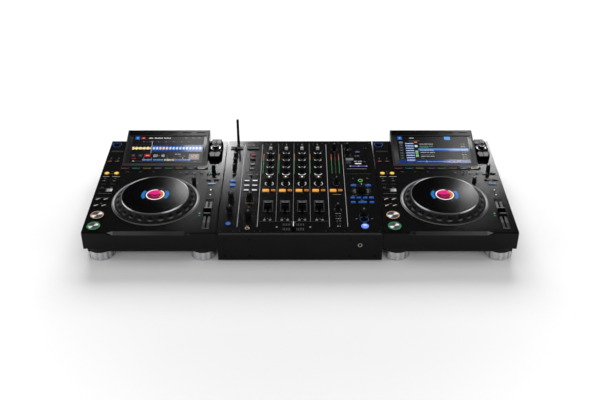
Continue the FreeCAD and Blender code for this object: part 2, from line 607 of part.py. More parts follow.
def direction_lever(label, x):
    """A rocking lever: broad cap over a round pivot bar."""
    low = "deck_top + lever_rise - lever_thick"
    bar = disc(f"{LEVER[0]} - lever_width / 2", LEVER[1], low, "lever_bar_radius", "lever_width")
    bar.Placement.Rotation = Rotation(Vector(0, 1, 0), 90)
    return finish(fuse(block(*LEVER, low, "lever_width", "lever_depth", "lever_thick"), bar), label, x)


def player_boards():
    """The main board on the pan's bosses."""
    half = f"({HALF_PLAYER} - board_margin)"
    return block("0", BOARD_Y, f"{PAN_FLOOR} + boss_height", f"2 * {half}", "board_length",
                 "board_thick")


def player_supply():
    """The power supply on the pan's floor."""
    return block("0", f"{BOARD_Y} + board_length / 2 + supply_gap + supply_length / 2", PAN_FLOOR,
                 "supply_width", "supply_length", "supply_height")


def screw(x, y, z):
    """A screw with its head up against the underside at z."""
    return fuse(disc(x, y, f"{z} - screw_head_thick", "screw_head_radius", "screw_head_thick"),
                disc(x, y, f"{z} - screw_head_thick", "screw_shank_radius",
                     "screw_head_thick + screw_length"))


def build_player(side, name):
    """The sub-parts of one player that have nodes of their own."""
    x = f"{side} * {PLAYER_X}"
    player_case(f"{name}_top_case", x)
    display_housing(f"{name}_display_housing", x)
    jog_wheel(f"{name}_jog_wheel", x)
    jog_plate(f"{name}_jog_plate", x)
    finish(fader(TEMPO_X, TEMPO_REST, "tempo_cap_width", "tempo_cap_length", "tempo_cap_rise"),
           f"{name}_tempo_slider", x)
    finish(group([PLAY.cap()]), f"{name}_play_button", x)
    finish(group([CUE.cap()]), f"{name}_cue_button", x)
    direction_lever(f"{name}_direction_lever", x)
    finish(turning_knob(POD_X, POD_Y, "selector_radius", "selector_rise",
                        top="(deck_top + pod_rise)", drop="pod_rise + shaft_drop"),
           f"{name}_selector_knob", x)
    finish(turning_knob(*VINYL_KNOB, "small_knob_radius", "vinyl_knob_rise"),
           f"{name}_vinyl_speed_knob", x)
    finish(turning_knob(*JOG_KNOB, "small_knob_radius", "jog_knob_rise"),
           f"{name}_jog_adjust_knob", x)
    finish(group([key.cap() for key in HOT_CUES]), f"{name}_hot_cue_buttons", x)
    finish(group([key.cap() for key in deck_keys()]), f"{name}_deck_buttons", x)


def player_feet():
    return group([disc(x, y, "pad_thick", "foot_radius", "foot_height - pad_thick")
                  for x, y in foot_places()])


def build_shared_player_pieces():
    """Pieces that both players have, one solid or set of solids for each."""
    for label, make in (("player_bottom_pans", player_pan), ("jog_rings", jog_ring),
                        ("jog_displays", jog_display), ("jog_bearings", jog_bearing),
                        ("display_screens", display_screen), ("selector_pods", selector_pod)):
        finish(group(at_both_players(make)), label)
    finish(group(at_both_players(player_feet)), "player_feet")


# ---- the mixer ----------------------------------------------------------------------------------
def channel_x(number):
    return f"({CHANNELS_LEFT} + channel_margin + ({number} + 0.5) * channel_pitch)"


CHANNELS = range(SIZES["channel_count"])


def from_rear(row):
    """A row measured from the mixer's rear edge."""
    return f"({DEPTH} - rear_margin - {row})"


def cue_keys():
    """A wide cue key and a narrow link key for each channel, and a pair for the master."""
    row = from_rear("cue_key_row")
    keys = [Key(f"({channel_x(number)} - cue_key_left)", row, "cue_key_width", "cue_key_depth")
            for number in CHANNELS]
    keys += [Key(f"({channel_x(number)} + cue_key_right)", row, "link_key_width", "link_key_depth")
             for number in CHANNELS]
    keys.append(Key(f"({MASTER_X} - master_key_half)", row, "cue_key_width", "cue_key_depth"))
    keys.append(Key(f"({MASTER_X} + master_key_half)", row, "link_key_width", "link_key_depth"))
    return keys


def mixer_keys():
    """The other keys: microphone section, colour effects and the effect section's grid."""
    keys = [Key(MIC_X, from_rear(f"(mic_key_row + {step} * mic_key_pitch)"), "mic_key_width",
                "mic_key_depth") for step in (0, 1)]
    keys.append(Key(MIC_X, "send_key_row", "send_key_radius"))
    keys += [Key(PHONES_X, from_rear(f"(phones_key_row + {step} * phones_key_pitch)"),
                 "phones_key_width", "phones_key_depth") for step in range(SIZES["phones_key_count"])]
    keys += [Key(f"({PHONES_X} + {side} * colour_key_half)",
                 from_rear(f"(colour_key_row + {step} * colour_key_pitch)"), "colour_key_width",
                 "colour_key_depth") for side in (-1, 1) for step in (0, 1, 2)]
    keys += [Key(f"({EFFECT_X} + {side} * beat_key_half)", from_rear("beat_key_row"), "beat_key_width",
                 "beat_key_depth") for side in (-1, 1)]
    keys += [Key(f"({EFFECT_X} + {step} * grid_pitch)", "grid_row", "grid_width", "grid_depth")
             for step in (-1.5, -0.5, 0.5, 1.5)]
    keys += [Key(f"({EFFECT_X} + {side} * 1.5 * grid_pitch)", "(grid_row - grid_row_pitch)",
                 "grid_width", "grid_depth") for side in (-1, 1)]
    keys.append(Key(EFFECT_X, "(grid_row - grid_row_pitch)", "grid_wide_key", "grid_depth"))
    keys.append(Key(EFFECT_X, from_rear("tap_key_row"), "phones_key_width", "phones_key_depth"))
    return keys


EFFECT_ON = Key(EFFECT_X, "effect_on_row", "effect_on_radius")
BEAT_SELECTOR = (EFFECT_X, "beat_selector_row")
DEPTH_KNOB = (EFFECT_X, "depth_knob_row")
MASTER_KNOB = (MASTER_X, from_rear("master_knob_row"))
PHONES_KNOB = (PHONES_X, "phones_knob_row")
TOP_JACK = (PHONES_X, "jack_row")
SCREEN_X = f"({EFFECT_X} + (mixer_screen_right - mixer_screen_left) / 2)"
SCREEN_WIDTH = "(mixer_screen_left + mixer_screen_right)"
LIP_BOTTOM = "(deck_top - front_lip)"


def mixer_sockets():
    return [(f"({MIXER_WIDTH} / 2 - inlet_inset)", "inlet_width", "inlet_height"),
            (f"({MIXER_WIDTH} / 2 - link_inset)", "link_width", "link_height")]


def mixer_case():
    """The top panel with its sides and rear wall, and the bevelled lip over the front plate."""
    body = pad(new_body("cover"), [("front_plate", "mixer_floor"), ("front_plate", LIP_BOTTOM),
                                   ("0", LIP_BOTTOM), ("0", "deck_top - front_bevel"),
                                   ("front_bevel", "deck_top"), (DEPTH, "deck_top"),
                                   (DEPTH, "mixer_floor")], MIXER_WIDTH)
    inside = block("0", f"(front_plate - 1 + {DEPTH} - wall) / 2", "mixer_floor - 1",
                   f"{MIXER_WIDTH} - 2 * wall", f"{DEPTH} - wall - front_plate + 1",
                   f"{LIP_BOTTOM} - mixer_floor + 1")
    upper = block("0", f"(front_plate + front_bevel + {DEPTH} - wall) / 2", f"{LIP_BOTTOM} - 1",
                  f"{MIXER_WIDTH} - 2 * wall", f"{DEPTH} - wall - front_plate - front_bevel",
                  "front_lip - mixer_skin + 1")
    slots = [block(channel_x(number), "fader_centre", "deck_top - mixer_skin - 1", "fader_slot",
                   "fader_travel + stem_length + fader_end", "mixer_skin + 2") for number in CHANNELS]
    slots.append(block(CROSSFADER_X, "crossfader_row", "deck_top - mixer_skin - 1",
                       "crossfader_travel + stem_length + fader_end", "fader_slot", "mixer_skin + 2"))
    holes = [key.hole("mixer_skin") for key in cue_keys() + mixer_keys() + [EFFECT_ON]]
    shafts = [shaft_hole(*spot, "mixer_skin")
              for spot in (BEAT_SELECTOR, DEPTH_KNOB, MASTER_KNOB, PHONES_KNOB)]
    jack = disc(*TOP_JACK, "deck_top - mixer_skin - 1", "jack_body", "mixer_skin + 2")
    screen = block(SCREEN_X, from_rear("mixer_screen_row"), "deck_top - mixer_screen_sink",
                   SCREEN_WIDTH, "mixer_screen_depth", "mixer_screen_sink + 1")
    pin = rearward(ANTENNA_X, f"{DEPTH} - wall - 1", "antenna_height",
                   "antenna_pin_radius + antenna_pin_play", "wall + 2")
    return finish(cut(body, inside, upper, slots + holes + shafts + [jack, screen],
                      rear_cutouts(mixer_sockets()) + [pin]), "mixer_case")


def mixer_base():
    """The bottom plate between the walls."""
    wide = f"({MIXER_WIDTH} - 2 * (wall + fit_play))"
    return finish(group([block("0", f"(front_plate + {DEPTH} - wall) / 2", "mixer_floor", wide,
                               f"{DEPTH} - wall - front_plate - 2 * fit_play", "base_thick")]),
                  "mixer_base")


def front_screws():
    edge = f"({MIXER_WIDTH} / 2 - screw_edge)"
    return [(f"{side} * ({edge} - {step} * screw_step)", f"mixer_floor + {height}")
            for side in (-1, 1) for step in (0, 1) for height in ("screw_low", "screw_high")]


def mixer_front_panel():
    plate = block("0", "front_plate / 2", "mixer_floor", MIXER_WIDTH, "front_plate",
                  f"{LIP_BOTTOM} - mixer_floor")
    shanks = [rearward(x, "-1", z, "screw_shank_radius", "front_plate + 2") for x, z in front_screws()]
    sinks = [rearward(x, "-1", z, "screw_head_radius", "screw_head_thick + 1")
             for x, z in front_screws()]
    jack = rearward("front_jack_x", "-1", "front_jack_z", "jack_body", "front_plate + 2")
    return finish(cut(plate, shanks + [jack], sinks), "mixer_front_panel")


def headphone_jacks():
    """Two phone jacks: one upright in the deck, one through the front plate."""
    upright = cut(disc(*TOP_JACK, "deck_top - jack_depth - jack_end", "jack_body",
                       "jack_depth + jack_end + jack_rise"),
                  disc(*TOP_JACK, "deck_top + jack_rise - jack_depth", "jack_radius",
                       "jack_depth + 1"))
    level = cut(rearward("front_jack_x", "0", "front_jack_z", "jack_body", "jack_depth + jack_end"),
                rearward("front_jack_x", "-1", "front_jack_z", "jack_radius", "jack_depth + 1"))
    return finish(group([upright, level]), "headphone_jacks")


def divider_strips():
    """The bright strips between the mixer's sections."""
    middle = f"({DEPTH} + divider_front - divider_rear) / 2"
    strips = [block(x, middle, "deck_top", "divider_width", f"{DEPTH} - divider_front - divider_rear",
                    "divider_rise") for x in (PHONES_LEFT, CHANNELS_LEFT, MASTER_LEFT, EFFECT_LEFT)]
    return finish(group(strips), "divider_strips")


def seated_knobs():
    """The mixer's knobs for the microphones, equalisers, colour effects and outputs."""
    knobs = [dial(MIC_X, from_rear(f"(mic_knob_row + {step} * mic_knob_pitch)"), "mic_knob_radius")
             for step in range(SIZES["mic_knob_count"])]
    knobs += [dial(x, row, "big_knob_radius") for x in (MIC_X, PHONES_X) for row in ("upper_knob_row",)]
    knobs.append(dial(MIC_X, "lower_knob_row", "big_knob_radius"))
    for number in CHANNELS:
        knobs += [dial(channel_x(number), from_rear(row), "eq_radius")
                  for row in ("trim_row", "high_row", "mid_row", "low_row")]
        knobs.append(dial(channel_x(number), from_rear("colour_row"), "colour_radius"))
    knobs.append(dial(MASTER_X, from_rear("balance_row"), "eq_radius"))
    knobs.append(dial(MASTER_X, "booth_row", "eq_radius"))
    knobs += [dial(f"({EFFECT_X} - send_knob_left)", from_rear(f"(send_knob_row + {step} * "
                   "send_knob_pitch)"), "mic_knob_radius") for step in (0, 1)]
    return finish(group(knobs), "mixer_knobs")


def selector_switches():
    """Small slide switches seated on the mixer's deck."""
    places = [(MIC_X, from_rear("mic_switch_row")), (PHONES_X, from_rear("phones_switch_row")),
              (f"({EFFECT_X} + mixer_switch_right)", from_rear("send_knob_row"))]
    places += [(channel_x(number), "assign_row") for number in CHANNELS]
    places += [(MASTER_X, f"(master_switch_row + {step} * switch_step)") for step in (0, 1, 2)]
    return finish(group([block(x, y, "deck_top", "switch_width", "switch_depth", "switch_rise")
                         for x, y in places]), "selector_switches")


def antenna():
    """The rod antenna behind the mixer, on a pin through the rear wall."""
    y = f"({DEPTH} + antenna_offset)"
    reach = "antenna_offset + wall"
    return finish(fuse(rearward(ANTENNA_X, f"{DEPTH} - wall", "antenna_height", "antenna_pin_radius",
                                reach),
                       rearward(ANTENNA_X, f"{DEPTH} + antenna_gap", "antenna_height",
                                "antenna_radius + 1", "2 * (antenna_offset - antenna_gap)"),
                       taper(ANTENNA_X, y, "antenna_height", "antenna_radius", "antenna_tip",
                             "antenna_length")), "antenna")


def build_mixer():
    mixer_case()
    mixer_base()
    mixer_front_panel()
    headphone_jacks()
    divider_strips()
    finish(group([block(SCREEN_X, from_rear("mixer_screen_row"), "deck_top - mixer_screen_sink",
                        f"{SCREEN_WIDTH} - 2 * screen_fit", "mixer_screen_depth - 2 * screen_fit",
                        "mixer_screen_sink + mixer_screen_rise")]), "mixer_screen")
    for number in CHANNELS:
        finish(fader(channel_x(number), "fader_centre", "fader_cap_width", "fader_cap_length",
                     "fader_cap_rise"), f"channel_fader_{number + 1}")
    finish(fader(CROSSFADER_X, "crossfader_row", "crossfader_cap_width", "crossfader_cap_length",
                 "fader_cap_rise", "stem_length", "stem_thick"), "crossfader")
    finish(turning_knob(*MASTER_KNOB, "eq_radius", "eq_rise"), "master_level_knob")
    finish(turning_knob(*PHONES_KNOB, "big_knob_radius", "eq_rise"), "headphone_level_knob")
    finish(turning_knob(*BEAT_SELECTOR, "beat_selector_radius", "beat_selector_rise"),
           "effect_selector_knob")
    finish(turning_knob(*DEPTH_KNOB, "big_knob_radius", "eq_rise"), "effect_depth_knob")
    seated_knobs()
    selector_switches()
    finish(group([key.cap() for key in cue_keys()]), "cue_buttons")
    finish(group([key.cap() for key in mixer_keys()]), "mixer_buttons")
    finish(group([EFFECT_ON.cap()]), "effect_on_button")
    antenna()


# ---- pieces that all three devices have ---------------------------------------------------------
def player_pads():
    return group([disc(x, y, "0", "foot_radius - pad_rim", "pad_thick") for x, y in foot_places()])


def tempo_unit():
    return fader_unit(TEMPO_X, "tempo_centre", "deck_skin", "tempo_slot + 2 * track_wall",
                      "tempo_travel + stem_length + tempo_end + 2 * track_wall", "tempo_slot",
                      "tempo_travel + stem_length + tempo_end")


def player_rear():
    """The power inlet, the link socket and the two audio outputs of a player."""
    return group([rear_socket(*spot) for spot in player_sockets()]
                 + [rca_jack(f"({HALF_PLAYER} - player_rca_inset - {step} * rca_pitch)", "socket_mid")
                    for step in (0, 1)])


def usb_socket():
    return cut(block(*USB, "deck_top - usb_drop", "usb_width + 2 * usb_wall",
                     "usb_depth + 2 * usb_wall", "usb_drop + usb_rise"),
               block(*USB, "deck_top - usb_drop + usb_wall", "usb_width", "usb_depth",
                     "usb_drop + usb_rise"))


def pan_side():
    return group([screw(x, y, "foot_height") for x, y in pan_screws()])


def build_common_pieces():
    mixer_pads = [disc(f"{side} * ({MIXER_WIDTH} / 2 - mixer_foot_inset)", y, "0",
                       "mixer_foot_radius", "mixer_floor") for side in (-1, 1)
                  for y in ("mixer_foot_inset", f"({DEPTH} - mixer_foot_inset)")]
    finish(group(at_both_players(player_pads) + mixer_pads), "rubber_feet")

    mixer_board = block("0", BOARD_Y, "mixer_floor + base_thick",
                        f"{MIXER_WIDTH} - 2 * board_margin", "board_length", "board_thick")
    finish(group(at_both_players(player_boards) + [mixer_board]), "circuit_boards")
    mixer_supply = block("0", f"{BOARD_Y} + board_length / 2 + supply_gap + supply_length / 2",
                         "mixer_floor + base_thick", "supply_width", "supply_length", "supply_height")
    finish(group(at_both_players(player_supply) + [mixer_supply]), "power_supplies")

    channel_units = [fader_unit(channel_x(number), "fader_centre", "mixer_skin",
                                "fader_slot + 2 * track_wall",
                                "fader_travel + stem_length + fader_end + 2 * track_wall",
                                "fader_slot", "fader_travel + stem_length + fader_end")
                     for number in CHANNELS]
    cross_unit = fader_unit(CROSSFADER_X, "crossfader_row", "mixer_skin",
                            "crossfader_travel + stem_length + fader_end + 2 * track_wall",
                            "fader_slot + 2 * track_wall",
                            "crossfader_travel + stem_length + fader_end", "fader_slot")
    finish(group(at_both_players(tempo_unit) + channel_units + [cross_unit]), "fader_tracks")

    mixer_rear = [rear_socket(*spot) for spot in mixer_sockets()]
    mixer_rear += [rca_jack(f"({MIXER_LEFT} + rca_first + {pair} * rca_pair_pitch)",
                            f"socket_mid + {end} * rca_pitch / 2")
                   for pair in range(SIZES["rca_pairs"]) for end in (-1, 1)]
    finish(group(at_both_players(player_rear) + at_both_players(usb_socket) + mixer_rear),
           "connector_sockets")

    front = [fuse(rearward(x, "0", z, "screw_head_radius", "screw_head_thick"),
                  rearward(x, "0", z, "screw_shank_radius", "screw_length")) for x, z in front_screws()]
    finish(group(at_both_players(pan_side) + front), "case_screws")


build_player(-1, "left")
build_player(1, "right")
build_shared_player_pieces()
build_mixer()
build_common_pieces()
document.recompute()

for item in document.Objects:
    if {"Invalid", "Error"} & set(item.State):
        raise RuntimeError(f"{item.Name} ({item.Label}) failed: {item.State}")
for part in PARTS:
    if part.Shape.isNull() or not part.Shape.isValid() or not part.Shape.Solids:
        raise RuntimeError(f"{part.Label} has no valid solid")

os.makedirs("parts", exist_ok=True)
for part in PARTS:
    part.Shape.exportStep(f"parts/{part.Label}.step")
print(len(PARTS), "sub-parts written")
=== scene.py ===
"""Looks of a DJ console: two identical media players either side of a four-channel mixer."""

import math

import bpy
from mathutils import Matrix, Vector


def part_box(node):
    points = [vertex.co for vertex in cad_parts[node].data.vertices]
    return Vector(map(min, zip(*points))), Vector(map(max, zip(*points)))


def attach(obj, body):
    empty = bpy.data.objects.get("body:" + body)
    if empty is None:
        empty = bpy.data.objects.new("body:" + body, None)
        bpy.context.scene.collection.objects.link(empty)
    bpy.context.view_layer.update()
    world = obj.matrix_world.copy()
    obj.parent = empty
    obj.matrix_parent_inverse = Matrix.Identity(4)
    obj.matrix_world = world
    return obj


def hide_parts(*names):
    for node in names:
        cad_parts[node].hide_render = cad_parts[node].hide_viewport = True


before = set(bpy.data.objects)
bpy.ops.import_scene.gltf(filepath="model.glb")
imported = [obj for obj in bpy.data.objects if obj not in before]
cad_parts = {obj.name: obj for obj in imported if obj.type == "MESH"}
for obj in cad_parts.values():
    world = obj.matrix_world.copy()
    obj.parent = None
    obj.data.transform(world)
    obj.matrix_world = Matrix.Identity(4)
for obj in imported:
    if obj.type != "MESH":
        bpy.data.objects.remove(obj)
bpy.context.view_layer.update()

# ---------------------------------------------------------------- places
# Lengths are in millimetres. A device's x runs from its own centre, and y from the front edge.
MM = 0.001
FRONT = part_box("left_top_case")[0].y / MM
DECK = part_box("left_top_case")[1].z / MM
CENTRES = {side: sum(corner.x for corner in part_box(f"{side}_top_case")) / 2 / MM
           for side in ("left", "right")}
TILT = math.radians(13)
JOG_Y = 141.5
MIC_X, PHONES_X, MASTER_X, EFFECT_X = -178, -130, 96, 160.5
CHANNELS = (-81.5, -38.0, 5.5, 49.0)
UPRIGHT = Matrix.Rotation(math.pi / 2, 4, "X")
# how far printed marks, and dark areas that look let in, lie above the face under them
PRINT, SUNK = 0.06, 0.03


def solids(node):
    """(x, y, width, depth, low z, high z) of each separate solid, front row first, left to right."""
    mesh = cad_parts[node].data
    keys = [tuple(round(value * 1e5) for value in vertex.co) for vertex in mesh.vertices]
    parent = {key: key for key in keys}

    def root(key):
        while parent[key] != key:
            parent[key] = parent[parent[key]]
            key = parent[key]
        return key

    for polygon in mesh.polygons:
        first = root(keys[polygon.vertices[0]])
        for vertex in polygon.vertices[1:]:
            parent[root(keys[vertex])] = first
    groups = {}
    for key in set(keys):
        groups.setdefault(root(key), []).append(key)
    found = []
    for points in groups.values():
        low = [min(point[axis] for point in points) / 100 for axis in range(3)]
        high = [max(point[axis] for point in points) / 100 for axis in range(3)]
        found.append(((low[0] + high[0]) / 2, (low[1] + high[1]) / 2 - FRONT,
                      high[0] - low[0], high[1] - low[1], low[2], high[2]))
    return sorted(found, key=lambda box: (round(box[1] / 2), box[0]))


# ---------------------------------------------------------------- materials
LOOKS = {}


def feed(tree, made, inputs):
    """Sets each input of a node to a value, or links it to another node's output."""
    for socket, value in inputs.items():
        if isinstance(value, bpy.types.NodeSocket):
            tree.links.new(value, made.inputs[socket])
        else:
            made.inputs[socket].default_value = value


def node_of(tree, kind, inputs, **settings):
    made = tree.nodes.new("ShaderNode" + kind)
    for name, value in settings.items():
        setattr(made, name, value)
    feed(tree, made, inputs)
    return made.outputs


def maths(tree, operation, *values):
    return node_of(tree, "Math", dict(enumerate(values)), operation=operation)["Value"]


def noise(tree, scale, detail, stretch=(1, 1, 1)):
    place = node_of(tree, "TexCoord", {})["Object"]
    mapped = node_of(tree, "Mapping", {"Vector": place, "Scale": stretch})["Vector"]
    return node_of(tree, "TexNoise", {"Vector": mapped, "Scale": scale, "Detail": detail})["Fac"]


def ramp(tree, value, stops):
    """A colour from a value between 0 and 1: stops are (place, colour)."""
    made = tree.nodes.new("ShaderNodeValToRGB")
    elements = made.color_ramp.elements
    while len(elements) < len(stops):
        elements.new(1.0)
    for element, (place, colour) in zip(elements, stops):
        element.position, element.color = place, (*colour, 1)
    tree.links.new(value, made.inputs["Fac"])
    return made.outputs["Color"]


def blank(name):
    made = bpy.data.materials.new(name)
    made.use_nodes = True
    return made, made.node_tree, made.node_tree.nodes["Principled BSDF"]


def finish(name, colour, rough, metal=0.0, spread=0.15, grain=1500.0, bump=0.1, glow=0.0,
           stretch=(1, 1, 1), shine=0.5, vary=0.12):
    """A look whose colour and relief come from a fine noise, and its roughness from a broad one."""
    patches, relief = 30.0, 0.05 * MM
    made, tree, shader = blank(name)
    fine = noise(tree, grain, 3.0, stretch)
    tint = ramp(tree, fine, ((0.3, [channel * (1 - spread) for channel in colour]),
                             (0.7, [min(1, channel * (1 + spread)) for channel in colour])))
    feed(tree, shader, {"Base Color": tint, "Metallic": metal, "Specular IOR Level": shine})
    feed(tree, shader, {"Roughness": node_of(tree, "MapRange", {
        "Value": noise(tree, patches, 2.0), "From Min": 0.3, "From Max": 0.7,
        "To Min": rough * (1 - vary), "To Max": min(1, rough * (1 + vary))})["Result"]})
    if bump:
        feed(tree, shader, {"Normal": node_of(tree, "Bump", {
            "Height": fine, "Strength": bump, "Distance": relief})["Normal"]})
    if glow:
        feed(tree, shader, {"Emission Color": tint, "Emission Strength": glow})
    LOOKS[name] = made
    return tree, shader, tint


def sheen_painted_metal(name, turn, repeats, tones, rough, metal, shine=0.5):
    """Metal with painted sheen: its tone follows the angle about its object's axis, a painted highlight and
    shade that stand in for how lamps light turned metal.

    tones are (place, tone), where place is (1 + cos(repeats * (angle - turn))) / 2, with turn in degrees.
    """
    tree, shader, grain = finish(name, (0.92, 0.92, 0.94), rough, metal, 0.08, 900, bump=0.0, shine=shine)
    place = node_of(tree, "SeparateXYZ", {"Vector": node_of(tree, "TexCoord", {})["Object"]})
    angle = maths(tree, "SUBTRACT", maths(tree, "ARCTAN2", place["Y"], place["X"]), math.radians(turn))
    wave = maths(tree, "COSINE", maths(tree, "MULTIPLY", angle, repeats))
    tone = ramp(tree, maths(tree, "MULTIPLY_ADD", wave, 0.5, 0.5),
                [(at, (level, level, level * 1.02)) for at, level in tones])
    feed(tree, shader, {"Base Color": node_of(tree, "VectorMath", {0: tone, 1: grain},
                                              operation="MULTIPLY")["Vector"]})


def finishes(rows, **shared):
    """Looks that share what is named in shared: each row is (name, colour, roughness, shine)."""
    for name, colour, rough, shine in rows:
        finish(name, colour, rough, shine=shine, **shared)


def lamps(rough, rows):
    """Lit marks and screen colours: each row is (name, colour, glow)."""
    for name, colour, glow in rows:
        finish(name, colour, rough, spread=0.12, grain=500, bump=0.05, glow=glow)


finishes((("case", (0.0032, 0.0032, 0.0035), 0.21, 0.13), ("bezel", (0.008, 0.008, 0.0085), 0.3, 0.65),
          ("strip", (0.001, 0.001, 0.0012), 0.16, 0.3)), spread=0.05, grain=600, bump=0.0, vary=0.03)
# dimple and hollow are the paler and darker halves of the jog wheel's dimples, a painted highlight and
# painted shade
finishes((("recess", (0.0006, 0.0006, 0.0007), 0.7, 0.0), ("rim", (0.0045, 0.0045, 0.0049), 0.36, 0.2),
          ("dimple", (0.030, 0.030, 0.031), 0.36, 0.5), ("hollow", (0.0012, 0.0012, 0.0014), 0.4, 0.1)),
         spread=0.1, grain=600, bump=0.0)
# facet, pod_face, edge and lip are pale tones painted as highlights on dark bevels, facets and edges
finishes((("facet", (0.12, 0.12, 0.122), 0.4, 0.2), ("pod_face", (0.19, 0.19, 0.192), 0.6, 0.02),
          ("edge", (0.035, 0.035, 0.037), 0.35, 0.5)), grain=1800)
finishes((("lip", (0.008, 0.008, 0.0085), 0.35, 0.5), ("grey_panel", (0.020, 0.020, 0.021), 0.42, 0.2),
          ("key", (0.0035, 0.0035, 0.0038), 0.26, 0.25)), spread=0.2, grain=1800)
finish("front", (0.0052, 0.0052, 0.0055), 0.5, spread=0.3, grain=2200, bump=0.2, shine=0.1)
finish("panel", (0.0014, 0.0014, 0.0017), 0.4, spread=0.3, grain=2200, shine=0.08)
finish("gloss", (0.0015, 0.0015, 0.0018), 0.12, spread=0.2, grain=300, bump=0.01, vary=0.03)
finish("plate", (0.0012, 0.0012, 0.0015), 0.15, spread=0.2, grain=300, bump=0.0, shine=0.15, vary=0.02)
finish("glass", (0.0008, 0.0008, 0.0011), 0.2, spread=0.1, grain=200, bump=0.0, shine=0.4, vary=0.02)
finish("knob", (0.0018, 0.0018, 0.002), 0.34, spread=0.25, grain=2600, shine=0.12)
finish("rubber", (0.010, 0.010, 0.010), 0.75, spread=0.3, grain=1200, bump=0.5, shine=0.2)
finish("sheet", (0.008, 0.008, 0.0085), 0.5, spread=0.25, bump=0.3, shine=0.12)
finish("board", (0.01, 0.09, 0.03), 0.45, spread=0.35, grain=600, bump=0.2)
finish("bearing", (0.30, 0.29, 0.26), 0.5, spread=0.1, grain=800)
finish("socket_white", (0.75, 0.75, 0.72), 0.4, spread=0.08, grain=900)
finish("socket_red", (0.45, 0.02, 0.02), 0.4, spread=0.1, grain=900)
finish("silver", (0.50, 0.50, 0.51), 0.30, 1.0, 0.08, 900, 0.06, stretch=(1, 6, 1))
finish("chrome", (0.75, 0.75, 0.76), 0.12, 1.0, 0.04, 500, 0.02, vary=0.05)
finish("dark_metal", (0.16, 0.16, 0.165), 0.26, 1.0, 0.1, 900, 0.03, vary=0.05)
finish("gold", (0.80, 0.58, 0.25), 0.24, 1.0, 0.08, 900, 0.05)
finish("steel", (0.10, 0.10, 0.105), 0.36, 1.0, 0.15, 1400, 0.15)
# Painted sheen by angle: a bow-tie highlight on the transport discs, pale sides and a dark front on the jog
# rings and their edges, four highlight arcs on the jog plates' rims, and light and dark vertical bands on
# the feet, a painted reflection.
sheen_painted_metal("bowtie_sheen_painted", 36, 2, ((0.0, 0.05), (0.45, 0.06), (0.72, 0.22), (0.86, 0.75), (1.0, 0.95)), 0.35, 0.2)
sheen_painted_metal("collar", 90, 1, ((0.0, 0.008), (0.16, 0.012), (0.28, 0.12), (0.40, 0.42), (0.52, 0.46),
                               (0.68, 0.30), (0.88, 0.22), (1.0, 0.05)), 0.5, 0.0, 0.1)
sheen_painted_metal("collar_edge", 90, 1, ((0.0, 0.10), (0.2, 0.14), (0.35, 0.3), (1.0, 0.2)), 0.5, 0.0, 0.1)
sheen_painted_metal("plate_edge", 38, 4, ((0.0, 0.10), (0.55, 0.16), (0.8, 0.65), (1.0, 0.95)), 0.4, 0.0, 0.2)
sheen_painted_metal("brushed", 0, 1, (
    (0.0, 0.12), (0.02, 0.55), (0.08, 0.7), (0.12, 0.2), (0.17, 0.6), (0.3, 0.72), (0.45, 0.55), (0.5, 0.78),
    (0.62, 0.5), (0.72, 0.72), (0.8, 0.25), (0.86, 0.7), (0.94, 0.2), (0.98, 0.5), (1.0, 0.15)), 0.28, 0.75)
for name, colour in (
        ("white", (0.55, 0.55, 0.55)), ("grey", (0.24, 0.24, 0.245)), ("pale", (0.34, 0.34, 0.345)),
        ("cream", (0.62, 0.55, 0.42)), ("dim", (0.06, 0.06, 0.062)), ("yellow", (0.40, 0.30, 0.06))):
    finish(f"print_{name}", colour, 0.4 if name == "cream" else 0.5, grain=2500, bump=0.05)
lamps(0.3, (
    ("orange_lit", (0.50, 0.20, 0.02), 0.8), ("orange_dim", (0.075, 0.030, 0.004), 0.5),
    ("yellow_lit", (0.50, 0.33, 0.03), 0.8), ("red_lit", (0.32, 0.03, 0.03), 0.5),
    ("blue_lit", (0.006, 0.065, 0.28), 0.6), ("blue_dim", (0.004, 0.035, 0.16), 0.6),
    ("sky_lit", (0.10, 0.18, 0.62), 0.8), ("effect_top", (0.36, 0.46, 0.72), 0.8),
    ("white_lit", (0.80, 0.82, 0.86), 0.5), ("green_lit", (0.03, 0.42, 0.10), 0.75),
    ("play_ring", (0.010, 0.13, 0.045), 0.7), ("cue_ring", (0.34, 0.20, 0.10), 0.8),
    ("meter_green", (0.02, 0.14, 0.025), 0.65), ("meter_amber", (0.34, 0.12, 0.02), 0.65),
    ("meter_red", (0.34, 0.03, 0.02), 0.65), ("pad_pink", (0.14, 0.04, 0.045), 0.35),
    ("pad_teal", (0.015, 0.14, 0.11), 0.45), ("pad_yellow", (0.16, 0.135, 0.03), 0.4),
    ("pad_violet", (0.08, 0.065, 0.15), 0.35), ("pad_green", (0.05, 0.14, 0.04), 0.4),
    ("pad_amber", (0.17, 0.11, 0.03), 0.4), ("pad_blue", (0.025, 0.09, 0.15), 0.45)))
lamps(0.08, (
    ("ui_blue", (0.012, 0.05, 0.21), 1.0), ("ui_deep", (0.006, 0.018, 0.08), 1.0),
    ("ui_sky", (0.06, 0.19, 0.42), 1.0), ("ui_white", (0.36, 0.38, 0.40), 1.0),
    ("ui_grey", (0.09, 0.095, 0.095), 0.9), ("ui_dim", (0.02, 0.022, 0.025), 0.8),
    ("ui_cream", (0.52, 0.43, 0.22), 1.0), ("ui_amber", (0.62, 0.34, 0.10), 1.0),
    ("ui_red", (0.18, 0.015, 0.012), 1.0), ("ui_orange", (0.30, 0.09, 0.03), 1.0),
    ("ui_violet", (0.07, 0.05, 0.19), 1.0), ("ui_green", (0.06, 0.22, 0.07), 1.0),
    ("ui_leaf", (0.16, 0.24, 0.13), 1.0), ("ui_magenta", (0.38, 0.008, 0.11), 1.0),
    ("ui_maroon", (0.08, 0.004, 0.016), 1.0)))
lamps(0.1, (("arc_blue", (0.008, 0.085, 0.24), 1.0), ("ring_white", (0.60, 0.56, 0.57), 1.0)))


# ---------------------------------------------------------------- outlines
def circle(radius, count=48):
    return [(radius * math.cos(math.tau * i / count), radius * math.sin(math.tau * i / count))
            for i in range(count)]


